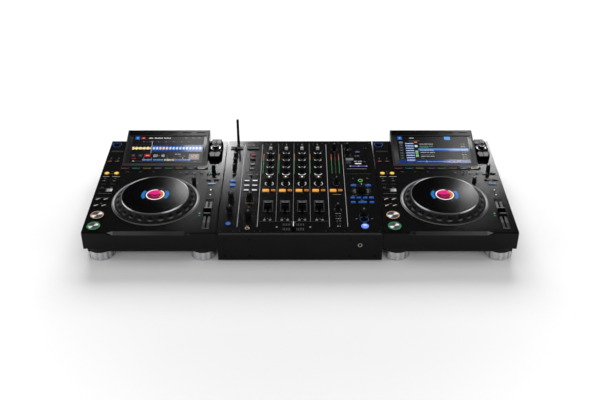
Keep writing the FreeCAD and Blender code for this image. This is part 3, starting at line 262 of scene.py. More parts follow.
def rounded(width, depth, corner):
    """A rectangle's outline with rounded corners."""
    steps = 4
    corner = max(0.05, min(corner, width / 2 - 0.01, depth / 2 - 0.01))
    points = []
    for quarter, (sx, sy) in enumerate(((1, 1), (-1, 1), (-1, -1), (1, -1))):
        for step in range(steps + 1):
            angle = math.pi / 2 * (quarter + step / steps)
            points.append((sx * (width / 2 - corner) + corner * math.cos(angle),
                           sy * (depth / 2 - corner) + corner * math.sin(angle)))
    return points


def fluted(radius, flutes=20, depth=0.35):
    """A knob's gripping outline, with shallow flutes."""
    return [(r * math.cos(math.tau * i / (4 * flutes)), r * math.sin(math.tau * i / (4 * flutes)))
            for i, r in enumerate([radius, radius, radius - depth, radius - depth] * flutes)]


# ---------------------------------------------------------------- pieces
class Piece:
    """One mesh, gathered in millimetres, that rides on a body and may stand for CAD nodes."""

    def __init__(self, name, body, *nodes, slot=None):
        self.name, self.body, self.nodes, self.slot = name, body, nodes, slot
        self.points, self.faces, self.face_looks, self.looks = [], [], [], []
        self.pose = Matrix.Identity(4)

    def at(self, x=0.0, y=0.0, z=0.0, turn=None):
        """Sets the frame of what follows: y is given from the front edge, z above the floor."""
        self.pose = Matrix.Translation((x, y + FRONT, z))
        if turn is not None:
            self.pose = self.pose @ turn

    def face(self, indices, look):
        if look not in self.looks:
            self.looks.append(look)
        self.faces.append(tuple(indices))
        self.face_looks.append(self.looks.index(look))

    def add(self, points):
        first = len(self.points)
        self.points.extend(self.pose @ Vector(point) for point in points)
        return first

    def sheet(self, points, look):
        first = self.add(points)
        self.face(range(first, len(self.points)), look)

    def band(self, low, high, count, look_of):
        """Joins two closed rows of points. look_of gives each face's look from its place in the row."""
        for i in range(count):
            j = (i + 1) % count
            self.face((low + i, low + j, high + j, high + i), look_of(i))

    def loft(self, outline, levels, look, cap=None, floor=True):
        """Stacks an outline: each level is (inset, z) or (inset, z, look of the band up to it)."""
        starts = [self.add([(x, y, level[1]) for x, y in outline(level[0])]) for level in levels]
        count = len(self.points) - starts[-1]
        for low, high, level in zip(starts, starts[1:], levels[1:]):
            self.band(low, high, count, lambda i: (*level, look)[2])
        self.face(range(starts[-1], starts[-1] + count), cap or look)
        if floor:
            self.face(reversed(range(starts[0], starts[0] + count)), look)

    def block(self, width, depth, corner, levels, look, **more):
        self.loft(lambda inset: rounded(width - 2 * inset, depth - 2 * inset, corner), levels, look, **more)

    def disc(self, radius, levels, look, count=48, **more):
        self.loft(lambda inset: circle(radius - inset, count), levels, look, **more)

    def ring(self, levels, look, count=96):
        """Turns a closed section (radius, z[, look]) about the frame's z axis."""
        starts = [self.add([(x, y, level[1]) for x, y in circle(level[0], count)]) for level in levels]
        for low, high, level in zip(starts, starts[1:] + starts[:1], levels[1:] + levels[:1]):
            self.band(low, high, count, lambda i: (*level, look)[2])

    def plate(self, shape, look, lift=PRINT, x=0.0, y=0.0):
        """A printed or lit patch that lies lift above the frame's plane."""
        self.sheet([(x + u, y + v, lift) for u, v in shape], look)

    def bar(self, x, y, width, depth, look, lift=PRINT):
        corners = ((-1, -1), (1, -1), (1, 1), (-1, 1))
        self.plate([(u * width / 2, v * depth / 2) for u, v in corners], look, lift, x, y)

    def bars(self, look, *rows, lift=PRINT):
        for row in rows:
            self.bar(*row, look, lift)

    def arc(self, x, y, inner, outer, start, end, look, lift=PRINT, steps=24):
        """A printed arc band, angles in degrees."""
        for i in range(steps):
            a, b = (math.radians(start + (end - start) * k / steps) for k in (i, i + 1))
            self.plate([(r * math.cos(t), r * math.sin(t))
                        for r, t in ((inner, a), (outer, a), (outer, b), (inner, b))], look, lift, x, y)

    def line(self, x0, y0, x1, y1, width, look, lift=PRINT):
        long = math.hypot(x1 - x0, y1 - y0)
        u, v = (y0 - y1) / long * width / 2, (x1 - x0) / long * width / 2
        self.plate([(x0 + u, y0 + v), (x0 - u, y0 - v), (x1 - u, y1 - v), (x1 + u, y1 + v)], look, lift)

    def words(self, x, y, letters, look="print_grey", size=1.5, lift=PRINT):
        """Small marks in the rhythm of a printed caption, which say nothing."""
        pitch = size * 0.72
        left = x - (sum(letters) + len(letters) - 1) * pitch / 2
        place = 0
        for group in letters:
            for letter in range(group):
                tall = size if (place * 7 + group * 3 + letter) % 3 else size * 0.7
                self.bar(left + (place + 0.5) * pitch, y + (tall - size) / 2, pitch * 0.62, tall, look, lift)
                place += 1
            place += 1

    def captions(self, look, size, columns):
        """Captions by column: columns gives, for each x, rows of (y, letters of each word)."""
        for x, rows in columns.items():
            for y, *letters in rows:
                self.words(x, y, letters, look, size)

    def digits(self, x, y, text, size, look, lift=PRINT):
        """Seven-segment numbers, centred on x."""
        lit = {"0": "abcdef", "1": "bc", "2": "abged", "6": "afgedc", "8": "abcdefg", "4": "fgbc"}
        # each segment's middle, in cap widths and heights, and whether it lies flat
        segments = {"a": (0, .5, 1), "g": (0, 0, 1), "d": (0, -.5, 1), "f": (-.5, .25, 0),
                    "b": (.5, .25, 0), "e": (-.5, -.25, 0), "c": (.5, -.25, 0)}
        wide, stroke = size * 0.52, size * 0.11
        advance = wide + size * 0.22
        for i, sign in enumerate(text):
            cx = x - advance * len(text) / 2 + advance * (i + 0.5)
            for dy in {".": (-0.45,), ":": (-0.2, 0.2)}.get(sign, ()):
                self.bar(cx, y + dy * size, stroke, stroke, look, lift)
            for dx, dy, flat in (segments[name] for name in lit.get(sign, "")):
                self.bar(cx + dx * (wide - stroke), y + dy * (size - stroke),
                         wide if flat else stroke, stroke if flat else size / 2, look, lift)

    def done(self, spin=None):
        """Makes the mesh. spin is the x and y about which its metal is turned, and there its origin goes."""
        origin = Vector((spin[0], spin[1] + FRONT, 0)) if spin else Vector((0, 0, 0))
        mesh = bpy.data.meshes.new(self.name)
        mesh.from_pydata([tuple((point - origin) * MM) for point in self.points], [], self.faces)
        for look in self.looks:
            mesh.materials.append(LOOKS[look])
        mesh.polygons.foreach_set("material_index", self.face_looks)
        mesh.polygons.foreach_set("use_smooth", [True] * len(self.faces))
        mesh.set_sharp_from_angle(angle=math.radians(32))
        mesh.update()
        made = bpy.data.objects.new(self.name, mesh)
        made.location = origin * MM
        bpy.context.scene.collection.objects.link(made)
        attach(made, self.body)
        if self.nodes:
            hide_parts(*self.nodes)
        return made


def key_cap(piece, box, look="key", corner=1.2, edge=0.5, window=None, border=None, front=None, width=0.6):
    """A moulded key over its solid's box, perhaps with a lit face, window, outline or front line."""
    x, y, wide, deep, low, high = box
    piece.at(x, y)
    round_key = corner == "round"

    def outline(inset):
        if round_key:
            return circle(wide / 2 - inset, 40)
        return rounded(wide - 2 * inset, deep - 2 * inset, corner - inset * 0.6)

    piece.loft(outline, [(0, low), (0, high - edge), (edge * 0.3, high - edge * 0.3), (edge, high)], look)
    piece.at(x, y, high)
    if border:
        piece.loft(outline, [(edge + 0.1, 0.0), (edge + 0.15, 0.05)], border)
        piece.loft(outline, [(edge + 0.15 + width, 0.05), (edge + 0.2 + width, 0.1)], look)
    if front:
        piece.bar(0, 1.3 - deep / 2, wide - 3.0, 1.4, front, 0.12)
    if window:
        piece.plate(circle(wide / 2 - edge - 0.6, 40) if round_key else
                    rounded(wide - 2 * edge - 1.2, deep - 2 * edge - 1.2, corner * 0.6), window)


def knob_cap(piece, x, y, low, high, radius, skirt=0.0, pointer="print_white", flutes=20,
             patch=None, stem=None):
    """A turned control knob: a fluted grip, perhaps with a pointer line, skirt, patch or metal stem."""
    piece.at(x, y)
    if skirt:
        piece.disc(radius + skirt,
                   [(0.2, low), (0, low + 0.3), (0, low + 1.6), (skirt * 0.6, low + 3.0)], "knob")
    grip = radius if skirt else radius - 0.2
    piece.loft(lambda inset: fluted(grip - inset, flutes),
               [(0.0, low), (0.1, low + 2), (0.7, high - 1.2), (0.9, high - 0.8)], "knob")
    piece.disc(grip, [(1.0, high - 0.9), (1.05, high - 0.35), (1.5, high - 0.1), (2.2, high - 0.1),
                      (2.5, high - 0.3)], "knob")
    if stem:
        piece.disc(3, [(0, stem), (0, DECK + 1)], "steel", 24)
    if pointer:
        piece.at(x, y, high - 0.12)
        piece.bar(0, (grip - 1.2) * 0.62, 0.9, (grip - 1.2) * 0.8, pointer, 0.04)
        piece.sheet([(-0.45, grip - 0.3, -7.0), (0.45, grip - 0.3, -7.0),
                     (0.45, grip - 0.98, -0.8), (-0.45, grip - 0.98, -0.8)], pointer)
    if patch:
        piece.at(x, y, high)
        piece.bar(0, 1.5 - grip, 8.0, 3.8, patch, 0.02)
        piece.sheet([(-4.4, -grip - 0.15, -7.5), (4.4, -grip - 0.15, -7.5),
                     (4.0, -0.5 - grip, 0.02), (-4.0, -0.5 - grip, 0.02)], patch)


def fader_cap(piece, box, lines, dip, across=False, line="print_pale"):
    """A sliding cap with a finger hollow, ridges and its bright lines, on a flat stem."""
    x, y, wide, deep, low, high = box
    lift = DECK + 0.5
    piece.at(x, y, 0, Matrix.Rotation(math.pi / 2, 4, "Z") if across else None)
    if across:
        wide, deep = deep, wide
    piece.block(*((6.0, 2.4) if across else (2.4, 6.0)), 0.3, [(0, low), (0, lift + 1)], "steel")
    half, bevel = deep / 2, 0.7
    profile = [(-half, lift), (-half, lift + 1.5), (-half + 1.6, high - 0.5), (-half + 2.4, high),
               (-half * 0.55, high - 0.2), (-half * 0.2, high - dip), (half * 0.2, high - dip),
               (half * 0.55, high - 0.2), (half - 2.4, high), (half - 1.6, high - 0.5), (half, lift + 1.5),
               (half, lift)]
    count = len(profile)
    edges = ((-wide / 2, bevel), (bevel - wide / 2, 0), (wide / 2 - bevel, 0), (wide / 2, bevel))
    sides = [piece.add([(u, v, z - (drop if z > lift + 2 else 0)) for v, z in profile])
             for u, drop in edges]
    for a, b in zip(sides, sides[1:]):
        piece.band(a, b, count, lambda i: "recess" if 2 < i < 8 else "knob")
    piece.face(reversed(range(sides[0], sides[0] + count)), "knob")
    piece.face(range(sides[-1], sides[-1] + count), "knob")
    for place in lines:
        nearest = high - dip if abs(place) <= half * 0.2 else high
        piece.bar(0, place, wide - 2.2, 1.3, line, nearest + 0.02)


# ---------------------------------------------------------------- screens
def tall_of(index, seed):
    """A repeatable height between 0 and 1 for a waveform's bar."""
    wave = math.sin(index * 0.61 + seed) + 0.6 * math.sin(index * 1.73 + 2 * seed)
    beat = 0.55 + 0.45 * abs(math.sin(index * 0.39 + seed))
    return max(0.12, min(1.0, (0.5 + 0.28 * wave) * beat + 0.25))


class Screen:
    """Draws on a tilted panel: u and v run from 0 to 1, from the left and from the top."""

    def __init__(self, piece, wide, tall, shift=0.0):
        self.piece, self.wide, self.tall, self.shift = piece, wide, tall, shift

    def spot(self, u, v):
        return (u - 0.5) * self.wide + self.shift, (0.5 - v) * self.tall

    def rect(self, u0, v0, u1, v1, look, lift=0.08):
        x0, y0 = self.spot(u0, v0)
        x1, y1 = self.spot(u1, v1)
        self.piece.bar((x0 + x1) / 2, (y0 + y1) / 2, abs(x1 - x0), abs(y1 - y0), f"ui_{look}", lift)

    def rects(self, *rows):
        for row in rows:
            self.rect(*row)

    def words(self, *rows, lift=0.14):
        """Rows are (u, v, letters, look, size)."""
        for u, v, letters, look, size in rows:
            self.piece.words(*self.spot(u, v), letters, f"ui_{look}", size, lift)

    def digits(self, *rows):
        """Rows are (u, v, text, size, look)."""
        for u, v, text, size, look in rows:
            self.piece.digits(*self.spot(u, v), text, size, f"ui_{look}", 0.14)

    def wave(self, u0, u1, v, half, count, looks, seed):
        """Bars either side of a middle line; looks are (height share, look) from back to front."""
        for i in range(count):
            height = tall_of(i, seed) * half
            a = u0 + (u1 - u0) * i / count
            b = a + (u1 - u0) / count * 0.86
            for k, (share, look) in enumerate(looks):
                part = share * (height if k == 0 else half * tall_of(i * 2.1, seed + k))
                self.rect(a, v - min(part, height), b, v + min(part, height), look, 0.1 + 0.03 * k)


def deck_view(screen):
    """The playing deck: waveform, time, tempo and overview, with generic marks."""
    screen.rects(
        (0.02, 0.02, 0.085, 0.135, "blue"), (0.04, 0.045, 0.065, 0.11, "sky", 0.12),
        (0.105, 0.04, 0.165, 0.12, "red"), (0.0, 0.33, 1.0, 0.335, "dim"),
        (0.275, 0.345, 1.0, 0.585, "deep"),
        (0.272, 0.18, 0.276, 0.64, "white", 0.3), (0.266, 0.18, 0.282, 0.20, "red", 0.32),
        (0.005, 0.68, 0.06, 0.77, "dim"), (0.105, 0.68, 0.16, 0.77, "dim"),
        (0.19, 0.675, 0.275, 0.775, "red"),
        (0.815, 0.67, 0.965, 0.875, "dim"), (0.02, 0.93, 0.84, 0.935, "grey"))
    screen.words(
        (0.135, 0.08, (3,), "cream", 2.2), (0.37, 0.08, (4, 7, 6), "white", 4.6),
        (0.75, 0.075, (4,), "grey", 2.6),
        (0.85, 0.075, (4,), "grey", 2.6), (0.94, 0.075, (4,), "grey", 2.6),
        (0.032, 0.725, (2,), "grey", 3.0),
        (0.132, 0.725, (2,), "grey", 3.0), (0.232, 0.725, (5,), "cream", 2.6),
        (0.66, 0.68, (3, 5), "white", 2.6),
        (0.72, 0.75, (5, 3), "grey", 3.0), (0.045, 0.83, (6,), "red", 3.0),
        (0.045, 0.925, (4,), "white", 2.4),
        (0.91, 0.945, (5,), "grey", 2.4))
    screen.digits((0.395, 0.735, "02:18", 8.5, "white"), (0.505, 0.75, ".4", 5.0, "grey"),
                  (0.885, 0.75, "126", 10, "orange"), (0.935, 0.84, "0.0", 4.4, "red"))
    for i in range(26):
        screen.rect(0.14 + i * 0.027, 0.215, 0.15 + i * 0.027, 0.225, "violet" if i % 4 else "white")
    for i in range(15):
        look = "amber" if 1 < i < 5 else "white"
        screen.rect(0.295 + 0.047 * i, 0.415, 0.317 + 0.047 * i, 0.505, look, 0.22)
    for u, look in ((0.18, "green"), (0.29, "green"), (0.51, "green"), (0.62, "red"), (0.73, "white")):
        screen.rect(u, 0.81, u + 0.012, 0.835, look)
    screen.wave(0.0, 0.265, 0.46, 0.058, 52, [(1.0, "cream")], 0.4)
    screen.wave(0.285, 0.995, 0.46, 0.115, 142, [(1.0, "blue"), (0.5, "sky")], 1.9)
    for u0, u1, look, seed in ((0.17, 0.305, "violet", 0.2), (0.325, 0.465, "blue", 1.1),
                               (0.48, 0.615, "cream", 2.2), (0.625, 0.84, "violet", 0.9)):
        screen.wave(u0, u1, 0.885, 0.038, int((u1 - u0) * 160), [(1.0, look), (0.5, "sky")], seed)


def list_view(screen):
    """The track list: icons, previews, a bright selected row and columns, with generic marks."""
    screen.rects(
        (0.01, 0.02, 0.075, 0.14, "blue"), (0.03, 0.045, 0.055, 0.11, "sky", 0.12),
        (0.68, 0.03, 0.765, 0.145, "sky"),
        (0.245, 0.21, 0.285, 0.255, "orange"), (0.245, 0.345, 0.285, 0.415, "white"),
        (0.245, 0.545, 0.285, 0.62, "leaf"), (0.245, 0.63, 0.285, 0.69, "green"),
        (0.245, 0.70, 0.285, 0.775, "leaf"),
        (0.29, 0.475, 1.0, 0.565, "sky"), (0.29, 0.51, 1.0, 0.565, "blue", 0.1),
        (0.0, 0.875, 1.0, 1.0, "deep"),
        (0.386, 0.9, 0.390, 0.985, "white", 0.2), (0.81, 0.905, 0.865, 0.945, "white"))
    screen.words(
        (0.21, 0.08, (6,), "white", 3.0), (0.25, 0.185, (5, 4, 9), "grey", 2.2),
        (0.17, 0.95, (3, 5), "grey", 2.4),
        (0.77, 0.945, (3,), "orange", 3.0), (0.92, 0.94, (3, 3), "grey", 2.4))
    for i in range(7):
        v = 0.21 + i * 0.096
        screen.rect(0.025, v, 0.08, v + 0.072, "grey" if i == 0 else "dim")
        screen.words((0.052, v + 0.04, (3,), "grey", 2.4))
    for i in range(8):
        v = 0.285 + i * 0.087
        screen.rect(0.11, v - 0.035, 0.235, v + 0.035, "deep")
        screen.wave(0.115, 0.23, v, 0.028, 24, [(1.0, "sky" if i % 2 else "blue"), (0.6, "white")], 0.7 + i)
    rows = ((0.305, (7, 5, 8), "white"), (0.385, (4, 9, 6), "leaf"), (0.43, (6, 7), "green"),
            (0.535, (5, 8, 7), "white"), (0.615, (9, 4, 8), "white"), (0.69, (6, 10, 3), "grey"),
            (0.755, (8, 5, 7), "white"), (0.82, (5,), "grey"))
    for i, (v, letters, look) in enumerate(rows):
        wide = (sum(letters) + len(letters)) * 0.72 * 2.4 / screen.wide
        screen.words((0.31 + wide / 2, v, letters, look, 2.4),
                     (0.93, v, (4, 3), "leaf" if i % 2 else "grey", 2.2), lift=0.18)
        screen.rect(0.29, v + 0.036, 0.995, v + 0.039, "dim", 0.16)
    screen.wave(0.25, 0.72, 0.945, 0.022, 76, [(1.0, "violet"), (0.5, "sky")], 2.4)


# ---------------------------------------------------------------- the players
PADS = ("pad_pink", "pad_teal", "pad_yellow", "pad_violet", "pad_green", "pad_amber", "pad_blue",
        "pad_yellow")


def jog_wheel(side, centre):
    """The wheel: a sloping rim with twenty-four rounded dimples, under a dark glossy plate; each dimple's
    outer half is painted paler, a painted highlight, and its inner half darker, a painted shade.
    """
    piece = Piece(f"{side}_wheel", f"{side}_jog", f"{side}_jog_wheel", slot="rim_plastic")
    piece.at(centre, JOG_Y)
    # radii of the rim and of the well under the plate, then the heights of its foot, lip and top
    outer, inner, well, low, lip, top = 103.0, 88.5, 80.0, 80.0, 91.5, 103.0
    slope, middle = math.hypot(outer - inner, top - lip), (outer + inner) / 2
    normal = ((top - lip) / slope, (outer - inner) / slope)
    dimples, per_dimple, across = 24, 14, 22
    around, wedge = dimples * per_dimple, math.tau / dimples
    reach, depth, painted = 8.3, 2.5, 7.6
    starts = [piece.add([(x, y, z) for x, y in circle(r, around)])
              for r, z in ((outer - 1.5, low), (outer, low + 1.5), (outer, lip - 0.5))]
    for step in range(across + 1):
        share = step / across
        r0, z0 = outer - 0.2 + (inner - outer + 0.2) * share, lip + (top - lip) * share
        points = []
        for i in range(around):
            angle = math.tau * i / around
            off = (angle + wedge / 2) % wedge - wedge / 2
            distance = math.hypot(off * middle, (share - 0.5) * slope)
            dent = depth * max(0.0, 1 - (distance / reach) ** 2) ** 0.75
            r, z = r0 - normal[0] * dent, z0 - normal[1] * dent
            points.append((r * math.cos(angle), r * math.sin(angle), z))
        starts.append(piece.add(points))
    starts.append(piece.add([(x, y, top) for x, y in circle(well, around)]))
    for row, (a, b) in enumerate(zip(starts, starts[1:])):
        share = (row - 2.5) / across

        # dimple, the outer half of each dimple, is a painted highlight; hollow, the inner half, is painted
        # shade
        def look_of(i):
            off = ((i + 0.5 + per_dimple / 2) % per_dimple - per_dimple / 2) * wedge / per_dimple * middle
            if row <= 2 or math.hypot(off, (share - 0.5) * slope) >= painted:
                return "rim"
            return "dimple" if share < 0.36 else "hollow"

        piece.band(a, b, around, look_of)
    piece.done().data.set_sharp_from_angle(angle=math.radians(60))

    plate = Piece(f"{side}_plate", f"{side}_jog", f"{side}_jog_plate", slot="gloss_black")
    plate.at(centre, JOG_Y)
    # the rim's edge faces carry plate_edge, whose four bright arcs round the rim are a painted highlight
    plate.ring([(36.5, 103.02), (86.7, 103.02), (86.75, 105.9, "plate_edge"), (86.3, 106.45, "plate_edge"),
                (85.0, 106.45, "plate_edge"), (84.7, 106.15, "plate_edge"), (70, 106.1), (50, 106.1),
                (36.9, 106.15), (36.5, 105.9)], "plate", 192)
    plate.done(spin=(centre, JOG_Y))


def jog_art(side, centre):
    """The fixed round display: a bright ring, two side arcs and a plain abstract disc."""
    piece = Piece(f"{side}_jog_art", "console")
    piece.at(centre, JOG_Y, 106.2)
    for row in ((0.1, 35.6, 0, 360, "glass", 0.02, 64), (21.2, 23.6, 80, 418, "ring_white", 0.08, 72),
                (0.1, 21.0, 12, 168, "ui_magenta", 0.05, 30), (0.1, 21.0, 168, 372, "ui_maroon", 0.05, 36),
                (14.0, 21.0, -48, 62, "ui_orange", 0.07, 24), (8.0, 10.0, 190, 350, "ui_magenta", 0.09, 20),
                (27.0, 35.2, -32, 32, "arc_blue", 0.06, 20), (27.0, 35.2, 148, 212, "arc_blue", 0.06, 20)):
        piece.arc(0, 0, *row)
    piece.done()


def jog_collars():
    """The ring round each wheel, between two thin edges, with a painted sheen: pale to the left and right,
    darker at the back and darkest at the front.
    """
    for index, (x, y, *_) in enumerate(solids("jog_rings")):
        nodes = ["jog_rings"] if index == 0 else []
        piece = Piece(f"jog_collar_{index + 1}", "console", *nodes, slot="silver")
        piece.at(x, y, DECK)
        piece.ring([(104.2, 0.02), (112.3, 0.02), (112.5, 0.3), (112.4, 0.9, "collar_edge"),
                    (111.4, 2.0, "collar_edge"), (110.0, 2.3), (109.6, 2.5, "collar"),
                    (105.6, 2.5, "collar"), (104.2, 2.0)], "steel", 192)
        piece.done(spin=(x, y))


def front_lip(side, centre):
    """The bevel along the deck's front edge, painted paler than the deck as a highlight, with a painted
    highlight on the facet at its outer end.
    """
    piece = Piece(f"{side}_front_lip", "console")
    piece.at(centre, 0, DECK + PRINT)
    piece.add([(-88, 0, -8), (88, 0, -8), (88, 6, 0), (-88, 6, 0), (-102, 0, 0), (102, 0, 0)])
    piece.face((0, 1, 2, 3), "lip")
    piece.face((4, 0, 3), "facet" if side == "left" else "front")
    piece.face((1, 5, 2), "facet" if side == "right" else "front")
    piece.done()


def moving(side, name, kind, slot):
    """The piece that dresses a player's moving node, and the box of that node's solid."""
    node = f"{side}_{name}_{kind}"
    return Piece(f"{side}_{name}_cap", f"{side}_{name}", node, slot=slot), solids(node)[0]


def player(side):
    centre = CENTRES[side]
    jog_wheel(side, centre)
    jog_art(side, centre)
    front_lip(side, centre)

    # transport buttons: a lit ring round a metal disc whose bow-tie highlight is painted
    for name, ring, band in (("play", "play_ring", 3.2), ("cue", "cue_ring", 1.7)):
        button, (x, y, wide, _, low, high) = moving(side, name, "button", "silver")
        button.at(x, y)
        rim = wide / 2
        disc = rim - band
        button.ring([(rim, low), (rim, high - 1.2), (rim - 0.4, high - 0.6), (rim - 0.6, high - 0.5),
                     (disc - 0.6, high - 0.35, ring), (disc - 1.0, high - 0.5),
                     (disc - 1.3, high - 0.2, "chrome"),
                     (disc - 2.2, high, "bowtie_sheen_painted"), (6, high - 0.3, "bowtie_sheen_painted"), (0.05, high - 0.4, "bowtie_sheen_painted"),
                     (0.05, low)], "gloss")
        button.done(spin=(x, y))

    # keys of the deck
    keys = Piece(f"{side}_deck_keys_caps", f"{side}_deck_keys", f"{side}_deck_buttons", slot="key_plastic")
    for box in solids(f"{side}_deck_buttons"):
        deck_key(keys, box, box[0] - centre)
    keys.done()

    # the eight pads, each with a lit outline and front line of its own colour
    pads = Piece(f"{side}_hot_cue_caps", f"{side}_hot_cues", f"{side}_hot_cue_buttons", slot="key_plastic")
    for box, look in zip(solids(f"{side}_hot_cue_buttons"), PADS):
        key_cap(pads, box, border=look, corner=1.4, width=0.35, front=look)
    pads.done()

    # knobs
    for name in ("vinyl_speed", "jog_adjust"):
        knob, (x, y, wide, _, low, high) = moving(side, name, "knob", "knob_plastic")
        knob_cap(knob, x, y, DECK + 0.4, high, wide / 2, flutes=16, stem=low)
        knob.done()
    knob, (x, y, wide, _, low, high) = moving(side, "selector", "knob", "gloss_black")
    grip, seat = 9.5, 100
    knob.at(x, y)
    knob.disc(3, [(0, low), (0, seat + 1)], "steel", 24)
    knob.loft(lambda inset: fluted(grip - inset, 24, 0.3),
              [(0.1, seat - 0.6), (0.0, seat), (0.2, high - 2.2), (0.5, high - 1.8)], "knob")
    knob.disc(grip, [(0.5, high - 1.9), (0.8, high - 1.0, "chrome"), (1.5, high - 0.4), (3.0, high - 0.5),
                     (6.0, high - 0.9)], "knob", 64)
    knob.at(x, y, high - 0.7)
    knob.plate(rounded(3.4, 1.6, 0.7), "print_pale", 0.3, -4.2, 2.4)
    knob.done()

    # tempo slider cap with its two bright lines
    cap, box = moving(side, "tempo", "slider", "knob_plastic")
    line = box[3] / 2 - 1.6
    fader_cap(cap, box, (-line, line), 3.0)
    cap.done()

    # rocking lever: black to the left; printed steps from dim to white across its top are a painted sheen of
    # polished metal brightening to the right
    lever, (x, y, wide, deep, low, high) = moving(side, "direction", "lever", "silver")
    lever.at(x, y)
    lever.block(wide, deep, 1.5,
                [(0.5, high - 6), (0, high - 5.4), (0, high - 0.8), (0.3, high - 0.2), (1.0, high)], "gloss")
    lever.at(x, y, high)
    step, rise = 3.3, 0.35
    for k, look in enumerate(("print_dim", "print_grey", "print_grey", "print_pale", "print_white")):
        left, near, far = 0.8 + step * k, 0.5 - deep / 2 + rise * k, deep / 2 - 1.1
        lever.plate([(left, near), (left + step, near + rise), (left + step, far), (left, far)], look, 0.04)
    lever.at(x, y, DECK - 2.5, Matrix.Rotation(math.pi / 2, 4, "Y"))
    lever.disc(2.4, [(0, -wide / 2 + 0.5), (0, wide / 2 - 0.5)], "steel", 24)
    lever.done()

    print_player(side, centre)
    display(side, centre)
    pod(side, centre)


def deck_key(keys, box, across):
    """One of a player's twenty small keys: where it sits tells which look it has."""
    _, y, wide, deep, *_ = box
    if y < 90:
        key_cap(keys, box, corner="round", window="green_lit")
    elif y < 160:
        key_cap(keys, box, "gloss", corner=1.5)
        # the cream diagonal line is a painted highlight on the glossy cap; a short grey line runs along its
        # back
        keys.line(-0.36 * wide, -0.34 * deep, 0.30 * wide, 0.36 * deep, 2.0, "print_cream")
        keys.line(0.10 * wide, 0.36 * deep, 0.40 * wide, 0.36 * deep, 1.0, "print_grey", 0.08)
    elif across < -100 and y < 240:
        key_cap(keys, box)
        keys.words(0, 0.6, (3,), "print_pale", 2.0)
    elif across < -100 and y < 300:
        key_cap(keys, box, "orange_dim", corner="round")
        keys.plate(circle(wide / 2 - 1.1, 36), "yellow_lit")
        keys.arc(0, 0, 1.0, 2.0, 0, 360, "ui_amber", 0.1, 20)
    elif across < -100:
        key_cap(keys, box, front="red_lit" if across < -140 else "pad_pink")
    elif across > 120 and wide > 18:
        key_cap(keys, box, "pad_blue", border="blue_dim")
    elif across > 120 and across < 137 and y > 260:
        key_cap(keys, box, border="pad_teal", window="pad_teal")
    elif across > 120:
        key_cap(keys, box)
        if y < 260:
            keys.bar(0, deep / 2 - 1.6, wide - 4, 1.1, "pad_yellow")
    else:
        key_cap(keys, box, "gloss", corner="round", border="print_grey" if 80 < across < 95 else None)


def print_player(side, centre):
    """What is printed on, let into or lit in the player's deck."""
    deck = Piece(f"{side}_deck_print", "console")
    deck.at(centre, 0, DECK)
    # tempo: a dark recess, its slot and two columns of marks that fade towards the front
    deck.plate(rounded(20.5, 131, 1.5), "panel", SUNK, 138.3, 83.5)
    deck.bar(137.5, 75.3, 3.2, 106, "gloss", 0.05)
    for i in range(46):
        look = "print_pale" if i > 27 else "print_grey" if i > 8 else "print_dim"
        off, wide = (5.3, 5.4) if i % 5 else (5.9, 6.6)
        deck.bars(look, *((137.8 + sign * off, 22 + i * 2.5, wide, 1.1) for sign in (-1, 1)))
    # captions and small marks
    deck.captions("print_grey", 1.5, {
        -152: [(341, 4)], -149: [(204, 3, 3)], -139: [(128, 6)], -137.8: [(93, 3), (45.5, 4)],
        -136: [(283, 4)],
        -131.5: [(341, 4)], -125: [(204, 3, 2)], -95: [(281, 3, 3)], -60: [(281, 4)], -25: [(281, 4)],
        48: [(278.5, 4)], 66: [(278.5, 3)], 87: [(278.5, 6)], 90.5: [(234.5, 5, 3)], 105.7: [(278.5, 4)],
        118: [(86, 5)], 127: [(275.6, 4)], 137.5: [(296, 5, 5), (245.5, 5, 5), (226.5, 5)],
        148: [(275.6, 5)]})
    deck.captions("print_dim", 2.2, {-104.3 + 29.8 * k: [(304.2, 1)] for k in range(len(PADS))})
    deck.captions("print_white", 2.0, {118: [(73.5, 3)]})
    deck.bars("print_pale", (137.5, 18.6, 18, 0.7))
    deck.bars("print_white", (-148.5, 257, 17, 1.0), (-122, 257, 20, 1.0))
    deck.bars("print_yellow", (-150, 248, 3, 1.2), (-123.5, 248, 3, 1.2))
    deck.bars("print_grey", (-151.7, 352, 3, 1.4), (-130.4, 352, 3, 1.4), (-137, 174, 34, 0.7),
              (-136, 271, 5, 0.6))
    deck.bars("print_dim", (-149, 220, 14, 0.8), (-123, 220, 14, 0.8), (-139, 155, 36, 0.7),
              (-137.8, 48, 22, 0.8))
    deck.arc(90.5, 225, 8.0, 8.6, -60, 240, "print_grey", 0.05, 30)
    deck.arc(137.5, 284.5, 8.4, 9.0, -60, 240, "print_grey", 0.05, 30)
    # the hot cue strip and the storage slot
    deck.plate(rounded(240, 13, 1.5), "panel", SUNK, 0, 297)
    deck.plate(rounded(36, 10, 2), "panel", SUNK, -141, 388)
    deck.bar(-141, 389, 31, 3.0, "print_dim", 0.05)
    deck.bar(-141, 387.6, 29, 2.2, "gloss", 0.07)
    # two small round lamps, dark rims with a bright middle
    for y in (190, 167):
        deck.at(centre + 138, y, DECK)
        deck.disc(4.0, [(0, 0.02), (0.1, 0.7), (0.6, 1.0)], "gloss", 32, floor=False)
        deck.plate(circle(1.7, 24), "white_lit", 1.06)
    # the lit edge of the USB port
    shape, inner = [(-11, 11), (11, 11), (13, 2), (7, -12), (-7, -12), (-13, 2)], 0.88
    deck.at(centre - 148, 425, DECK)
    for i, (x, y) in enumerate(shape):
        u, v = shape[(i + 1) % len(shape)]
        deck.plate([(x, y), (u, v), (u * inner, v * inner), (x * inner, y * inner)],
                   "blue_lit" if i in (0, 5) else "blue_dim", 0.07)
    deck.done()


